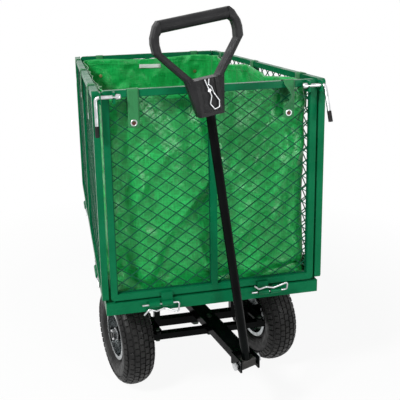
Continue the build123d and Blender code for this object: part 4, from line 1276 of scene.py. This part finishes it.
@dataclass
class StrapSet(SubAssembly):
    """Webbing straps over the rails, with their press studs and the rivets inside the bag."""

    bag: Liner
    width: float = 0.025
    thickness: float = 0.0013
    rail: float = 0.015
    clearance: float = 0.0006
    outside: float = 0.084
    inside: float = 0.050
    stud_up: float = 0.012
    flat_end: float = 0.024
    twist: float = 52.0
    small_twist: float = 5.0
    outstand: float = 0.0019
    bend: float = 0.004
    sway: float = 0.006
    stand: float = 0.42

    def places(self) -> list[Matrix]:
        """Where the straps hang.

        Returns:
            Matrices whose X runs along a rail, Y inwards, from the rail's outer top edge.
        """
        low, high = (Vector(corner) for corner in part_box("liner_straps"))
        bag = self.bag
        side = (high.x - low.x) / 2 - self.outstand
        spots = []
        for x in (-bag.end_strap, bag.end_strap):
            spots += [(x, bag.cage_front, 0.0), (x, bag.cage_rear, math.pi)]
        for share in bag.side_shares:
            y = bag.cage_front + share * (bag.cage_rear - bag.cage_front)
            spots += [(side, y, math.pi / 2), (-side, y, -math.pi / 2)]
        return [
            Matrix.Translation((x, y, bag.rail_top)) @ Matrix.Rotation(turn, 4, "Z")
            for x, y, turn in spots
        ]

    def twists(self, place: Matrix) -> float:
        """Twist of a strap at the middle of its hanging part.

        The front right one is buttoned with a turn in it, and the others lie almost flat.

        Args:
            place: the strap's place.

        Returns:
            The twist in radians.
        """
        spot = place.translation
        turned = spot.x > 0 and abs(spot.y - self.bag.cage_front) < 1e-6
        return math.radians(self.twist if turned else self.small_twist * noise.noise(spot * 9.0))

    def path(self, travel: float, seed: float) -> tuple[float, float]:
        """Strap line over the rail.

        Args:
            travel: distance along the strap from its outer end.
            seed: picks how the outer end hangs.

        Returns:
            The line's place inwards from the rail's outer face, and up from its top.
        """
        gap, radius = self.clearance + self.thickness / 2, self.bend
        straight = self.outside - radius
        arc = radius * math.pi / 2
        across = self.rail + 2 * gap - 2 * radius
        if travel < straight:
            hang = 1.0 - travel / straight
            share = 0.6 + 0.4 * noise.noise(Vector((seed, 2.0, 0.0)))
            sway = -0.0016 * math.sin(hang * 2.6) * share
            return -gap + sway, travel - self.outside + gap
        travel -= straight
        if travel < arc:
            turn = travel / radius
            inwards, up = -gap + radius, gap - radius
            return inwards - radius * math.cos(turn), up + radius * math.sin(turn)
        travel -= arc
        if travel < across:
            return -gap + radius + travel, gap
        travel -= across
        if travel < arc:
            turn = travel / radius
            inwards, up = self.rail + gap - radius, gap - radius
            return inwards + radius * math.sin(turn), up + radius * math.cos(turn)
        travel -= arc
        return self.rail + gap, gap - radius - travel

    def tape(self, mesh: bmesh.types.BMesh, place: Matrix, seed: float) -> None:
        """Adds one strap to the mesh, with its cloth coordinates.

        Args:
            mesh: the mesh of all straps.
            place: where it hangs.
            seed: picks how its outer end hangs.
        """
        length = self.outside + self.rail + self.inside
        made = bmesh.ops.create_grid(mesh, x_segments=6, y_segments=72, size=0.5)["verts"]
        layer = mesh.loops.layers.uv.verify()
        for face in {face for vertex in made for face in vertex.link_faces}:
            for loop in face.loops:
                loop[layer].uv = (loop.vert.co.x * self.width, loop.vert.co.y * length)
        twist = self.twists(place)
        hanging = self.outside - self.flat_end - self.bend
        for vertex in made:
            across, travel = vertex.co.x * self.width, (vertex.co.y + 0.5) * length
            inwards, up = self.path(travel, seed)
            free = min(max((travel - self.flat_end) / hanging, 0.0), 1.0)
            turn = twist * math.sin(math.pi * free)
            stand = abs(math.sin(turn)) * self.width * self.stand
            sway = self.sway * math.sin(math.pi * free) * math.sin(turn)
            cup = 0.0003 * math.cos(vertex.co.x * math.tau)
            across, depth = across * math.cos(turn) + sway, across * math.sin(turn)
            vertex.co = place @ Vector((across, inwards + cup + depth - stand, up))

    def build_tapes(self) -> None:
        """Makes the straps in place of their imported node."""
        mesh = bmesh.new()
        for index, place in enumerate(self.places()):
            self.tape(mesh, place, index * 1.7)
        body = self.bag.body
        tapes = self.finished("liner_strap_tapes", mesh, Finish.STRAP, body, "strap_webbing", 60.0)
        thick = tapes.modifiers.new("tape", "SOLIDIFY")
        thick.thickness = self.thickness
        thick.offset = 0.0
        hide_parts("liner_straps")

    def outer_seat(self, place: Matrix) -> Matrix:
        """Seat of a stud on the outside of a strap's hanging end; X points outwards."""
        spot = (0.0, -self.clearance - self.thickness, self.stud_up - self.outside)
        return place @ Matrix.Translation(spot) @ Matrix.Rotation(-math.pi / 2, 4, "Z")

    def inner_seat(self, place: Matrix) -> Matrix:
        """Seat of a rivet on the inner face of the bag, behind a strap's stud.

        Args:
            place: the strap's place.

        Returns:
            The seat, whose X points inwards.
        """
        start = place @ Vector((0.0, 0.1, self.stud_up - self.outside))
        towards = place.to_3x3() @ Vector((0.0, -1.0, 0.0))
        face = Matrix.Translation(self.bag.inner_face(start, towards))
        return face @ place.to_3x3().to_4x4() @ Matrix.Rotation(math.pi / 2, 4, "Z")

    def studs(
        self,
        profile: Sequence[tuple[float, float]],
        seat: Callable[[Matrix], Matrix],
    ) -> bmesh.types.BMesh:
        """Round fasteners on all straps.

        Args:
            profile: closed section of (height, radius).
            seat: gives a fastener's seat at a strap's place.

        Returns:
            The fasteners in one mesh.
        """
        mesh = bmesh.new()
        for place in self.places():
            single = spun(profile, 28)
            bmesh.ops.transform(single, matrix=seat(place), verts=single.verts)
            data = bpy.data.meshes.new("stud")
            single.to_mesh(data)
            single.free()
            mesh.from_mesh(data)
            bpy.data.meshes.remove(data)
        return mesh

    def build(self) -> None:
        """Makes the straps, studs and rivets."""
        self.build_tapes()
        body, slot = self.bag.body, "snap_ring"
        mesh = self.studs(RING_SECTION, self.outer_seat)
        rings = self.finished("stud_rings", mesh, Finish.ZINC, body, slot, 35.0)
        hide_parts("snap_rings")
        self.dress(Finish.STUD_CENTRE, "snap_centres")
        mesh = self.studs(CAP_SECTION, self.inner_seat)
        self.finished("stud_rivets", mesh, Finish.BRASS, body, slot, 35.0)


# Studio -------------------------------------------------------------------------------


@dataclass
class Studio:
    """White floor, soft light and the camera."""

    eye: tuple = (-0.3315, -1.1787, 0.9836)
    yaw: float = 9.309
    pitch: float = 11.125
    roll: float = -1.92
    focal_length: float = 50.95
    shift: tuple = (0.1236, -0.2093)
    key: float = 82.0
    fill: float = 17.0
    rim: float = 6.0
    sky: float = 0.20
    aim_height: float = 0.5
    glow_low: float = 0.92
    glow_from: float = 0.6
    glow_to: float = 1.3

    def camera(self, front: float) -> None:
        """Places the camera in front of the cage.

        Args:
            front: where the cage's front face lies along Y.
        """
        data = bpy.data.cameras.new("camera")
        data.lens = self.focal_length
        data.sensor_width = 36.0
        data.shift_x, data.shift_y = self.shift
        data.clip_start, data.clip_end = 0.05, 60.0
        camera = bpy.data.objects.new("camera", data)
        bpy.context.scene.collection.objects.link(camera)
        place = Matrix.Translation((self.eye[0], self.eye[1] + front, self.eye[2]))
        turn = Matrix.Rotation(math.radians(-self.yaw), 4, "Z")
        tilt = Matrix.Rotation(math.radians(90.0 - self.pitch), 4, "X")
        camera.matrix_world = place @ turn @ tilt @ Matrix.Rotation(math.radians(self.roll), 4, "Z")
        bpy.context.scene.camera = camera

    def lamp(
        self,
        name: str,
        place: Sequence[float],
        aim: Sequence[float],
        size: float,
        power: float,
    ) -> None:
        """Adds a square area lamp.

        Args:
            name: its name.
            place: where it stands.
            aim: the point that it looks at.
            size: the length of its side.
            power: its power in watts.
        """
        data = bpy.data.lights.new(name, "AREA")
        data.shape = "SQUARE"
        data.size = size
        data.energy = power
        lamp = bpy.data.objects.new(name, data)
        bpy.context.scene.collection.objects.link(lamp)
        look = Vector(aim) - Vector(place)
        turn = look.to_track_quat("-Z", "Y").to_matrix().to_4x4()
        lamp.matrix_world = Matrix.Translation(Vector(place)) @ turn

    def floor(self) -> None:
        """White floor that shows as white and keeps a soft shadow."""
        mesh = bmesh.new()
        bmesh.ops.create_grid(mesh, x_segments=1, y_segments=1, size=30.0)
        data = bpy.data.meshes.new("studio_floor")
        mesh.to_mesh(data)
        mesh.free()
        floor = bpy.data.objects.new("studio_floor", data)
        bpy.context.scene.collection.objects.link(floor)
        graph = ShaderGraph("studio_white")
        graph.set("Base Color", rgba(0.95, 0.95, 0.95))
        graph.set("Roughness", 0.9)
        graph.set("Specular IOR Level", 0.0)
        place = graph.coordinates.outputs["Object"]
        away = graph.node("ShaderNodeVectorMath", {0: place}, operation="LENGTH").outputs["Value"]
        far = graph.spread(away, self.glow_low, 1.0, self.glow_from, self.glow_to)
        rays = graph.node("ShaderNodeLightPath").outputs
        glossy = graph.maths("MAXIMUM", rays["Is Glossy Ray"], rays["Is Transmission Ray"])
        seen = graph.maths("MULTIPLY", graph.maths("MAXIMUM", rays["Is Camera Ray"], glossy), far)
        glow = graph.node("ShaderNodeEmission", {"Color": rgba(1.0, 1.0, 1.0), "Strength": 1.0})
        mix = graph.node("ShaderNodeMixShader", {0: seen, 1: graph.shader.outputs[0], 2: glow.outputs[0]})
        output = graph.nodes["Material Output"]
        graph.material.node_tree.links.new(mix.outputs[0], output.inputs["Surface"])
        data.materials.append(graph.material)

    def world(self) -> None:
        """Pale surroundings that show as white, also in metal and through gaps."""
        world = bpy.data.worlds.new("studio")
        world.use_nodes = True
        tree = world.node_tree
        rays = tree.nodes.new("ShaderNodeLightPath").outputs
        seen = rays["Is Camera Ray"]
        for kind in ("Is Glossy Ray", "Is Transmission Ray"):
            either = tree.nodes.new("ShaderNodeMath")
            either.operation = "MAXIMUM"
            tree.links.new(seen, either.inputs[0])
            tree.links.new(rays[kind], either.inputs[1])
            seen = either.outputs[0]
        strength = tree.nodes.new("ShaderNodeMapRange")
        strength.inputs["To Min"].default_value = self.sky
        strength.inputs["To Max"].default_value = 1.0
        tree.links.new(seen, strength.inputs["Value"])
        background = tree.nodes["Background"]
        background.inputs["Color"].default_value = rgba(1.0, 1.0, 1.0)
        tree.links.new(strength.outputs["Result"], background.inputs["Strength"])
        bpy.context.scene.world = world

    def build(self, front: float, centre: Vector) -> None:
        """Sets up the studio around the cart.

        Args:
            front: where the cage's front face lies along Y.
            centre: the middle of the bag.
        """
        self.camera(front)
        self.world()
        self.floor()
        aim = (centre.x, centre.y, self.aim_height)
        self.lamp("key", (-1.9, front - 1.1, 2.5), aim, 0.5, self.key)
        self.lamp("fill", (1.1, front - 2.0, 0.9), aim, 0.45, self.fill)
        self.lamp("rim", (0.6, centre.y + 2.4, 2.4), aim, 1.6, self.rim)
        bpy.context.scene.view_settings.view_transform = "Standard"


def main() -> None:
    """Builds the cart's visible pieces and the studio."""
    logging.basicConfig(level=logging.INFO, format="%(name)s: %(message)s")
    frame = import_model()
    liner = Liner(frame)
    Studio().build(liner.cage_front, liner.middle)
    for group in (Undercarriage(frame), Cage(frame), PullHandle(frame), Wheels(frame), liner):
        group.build()
        LOG.info("%s done", type(group).__name__)


if __name__ == "__main__":
    main()
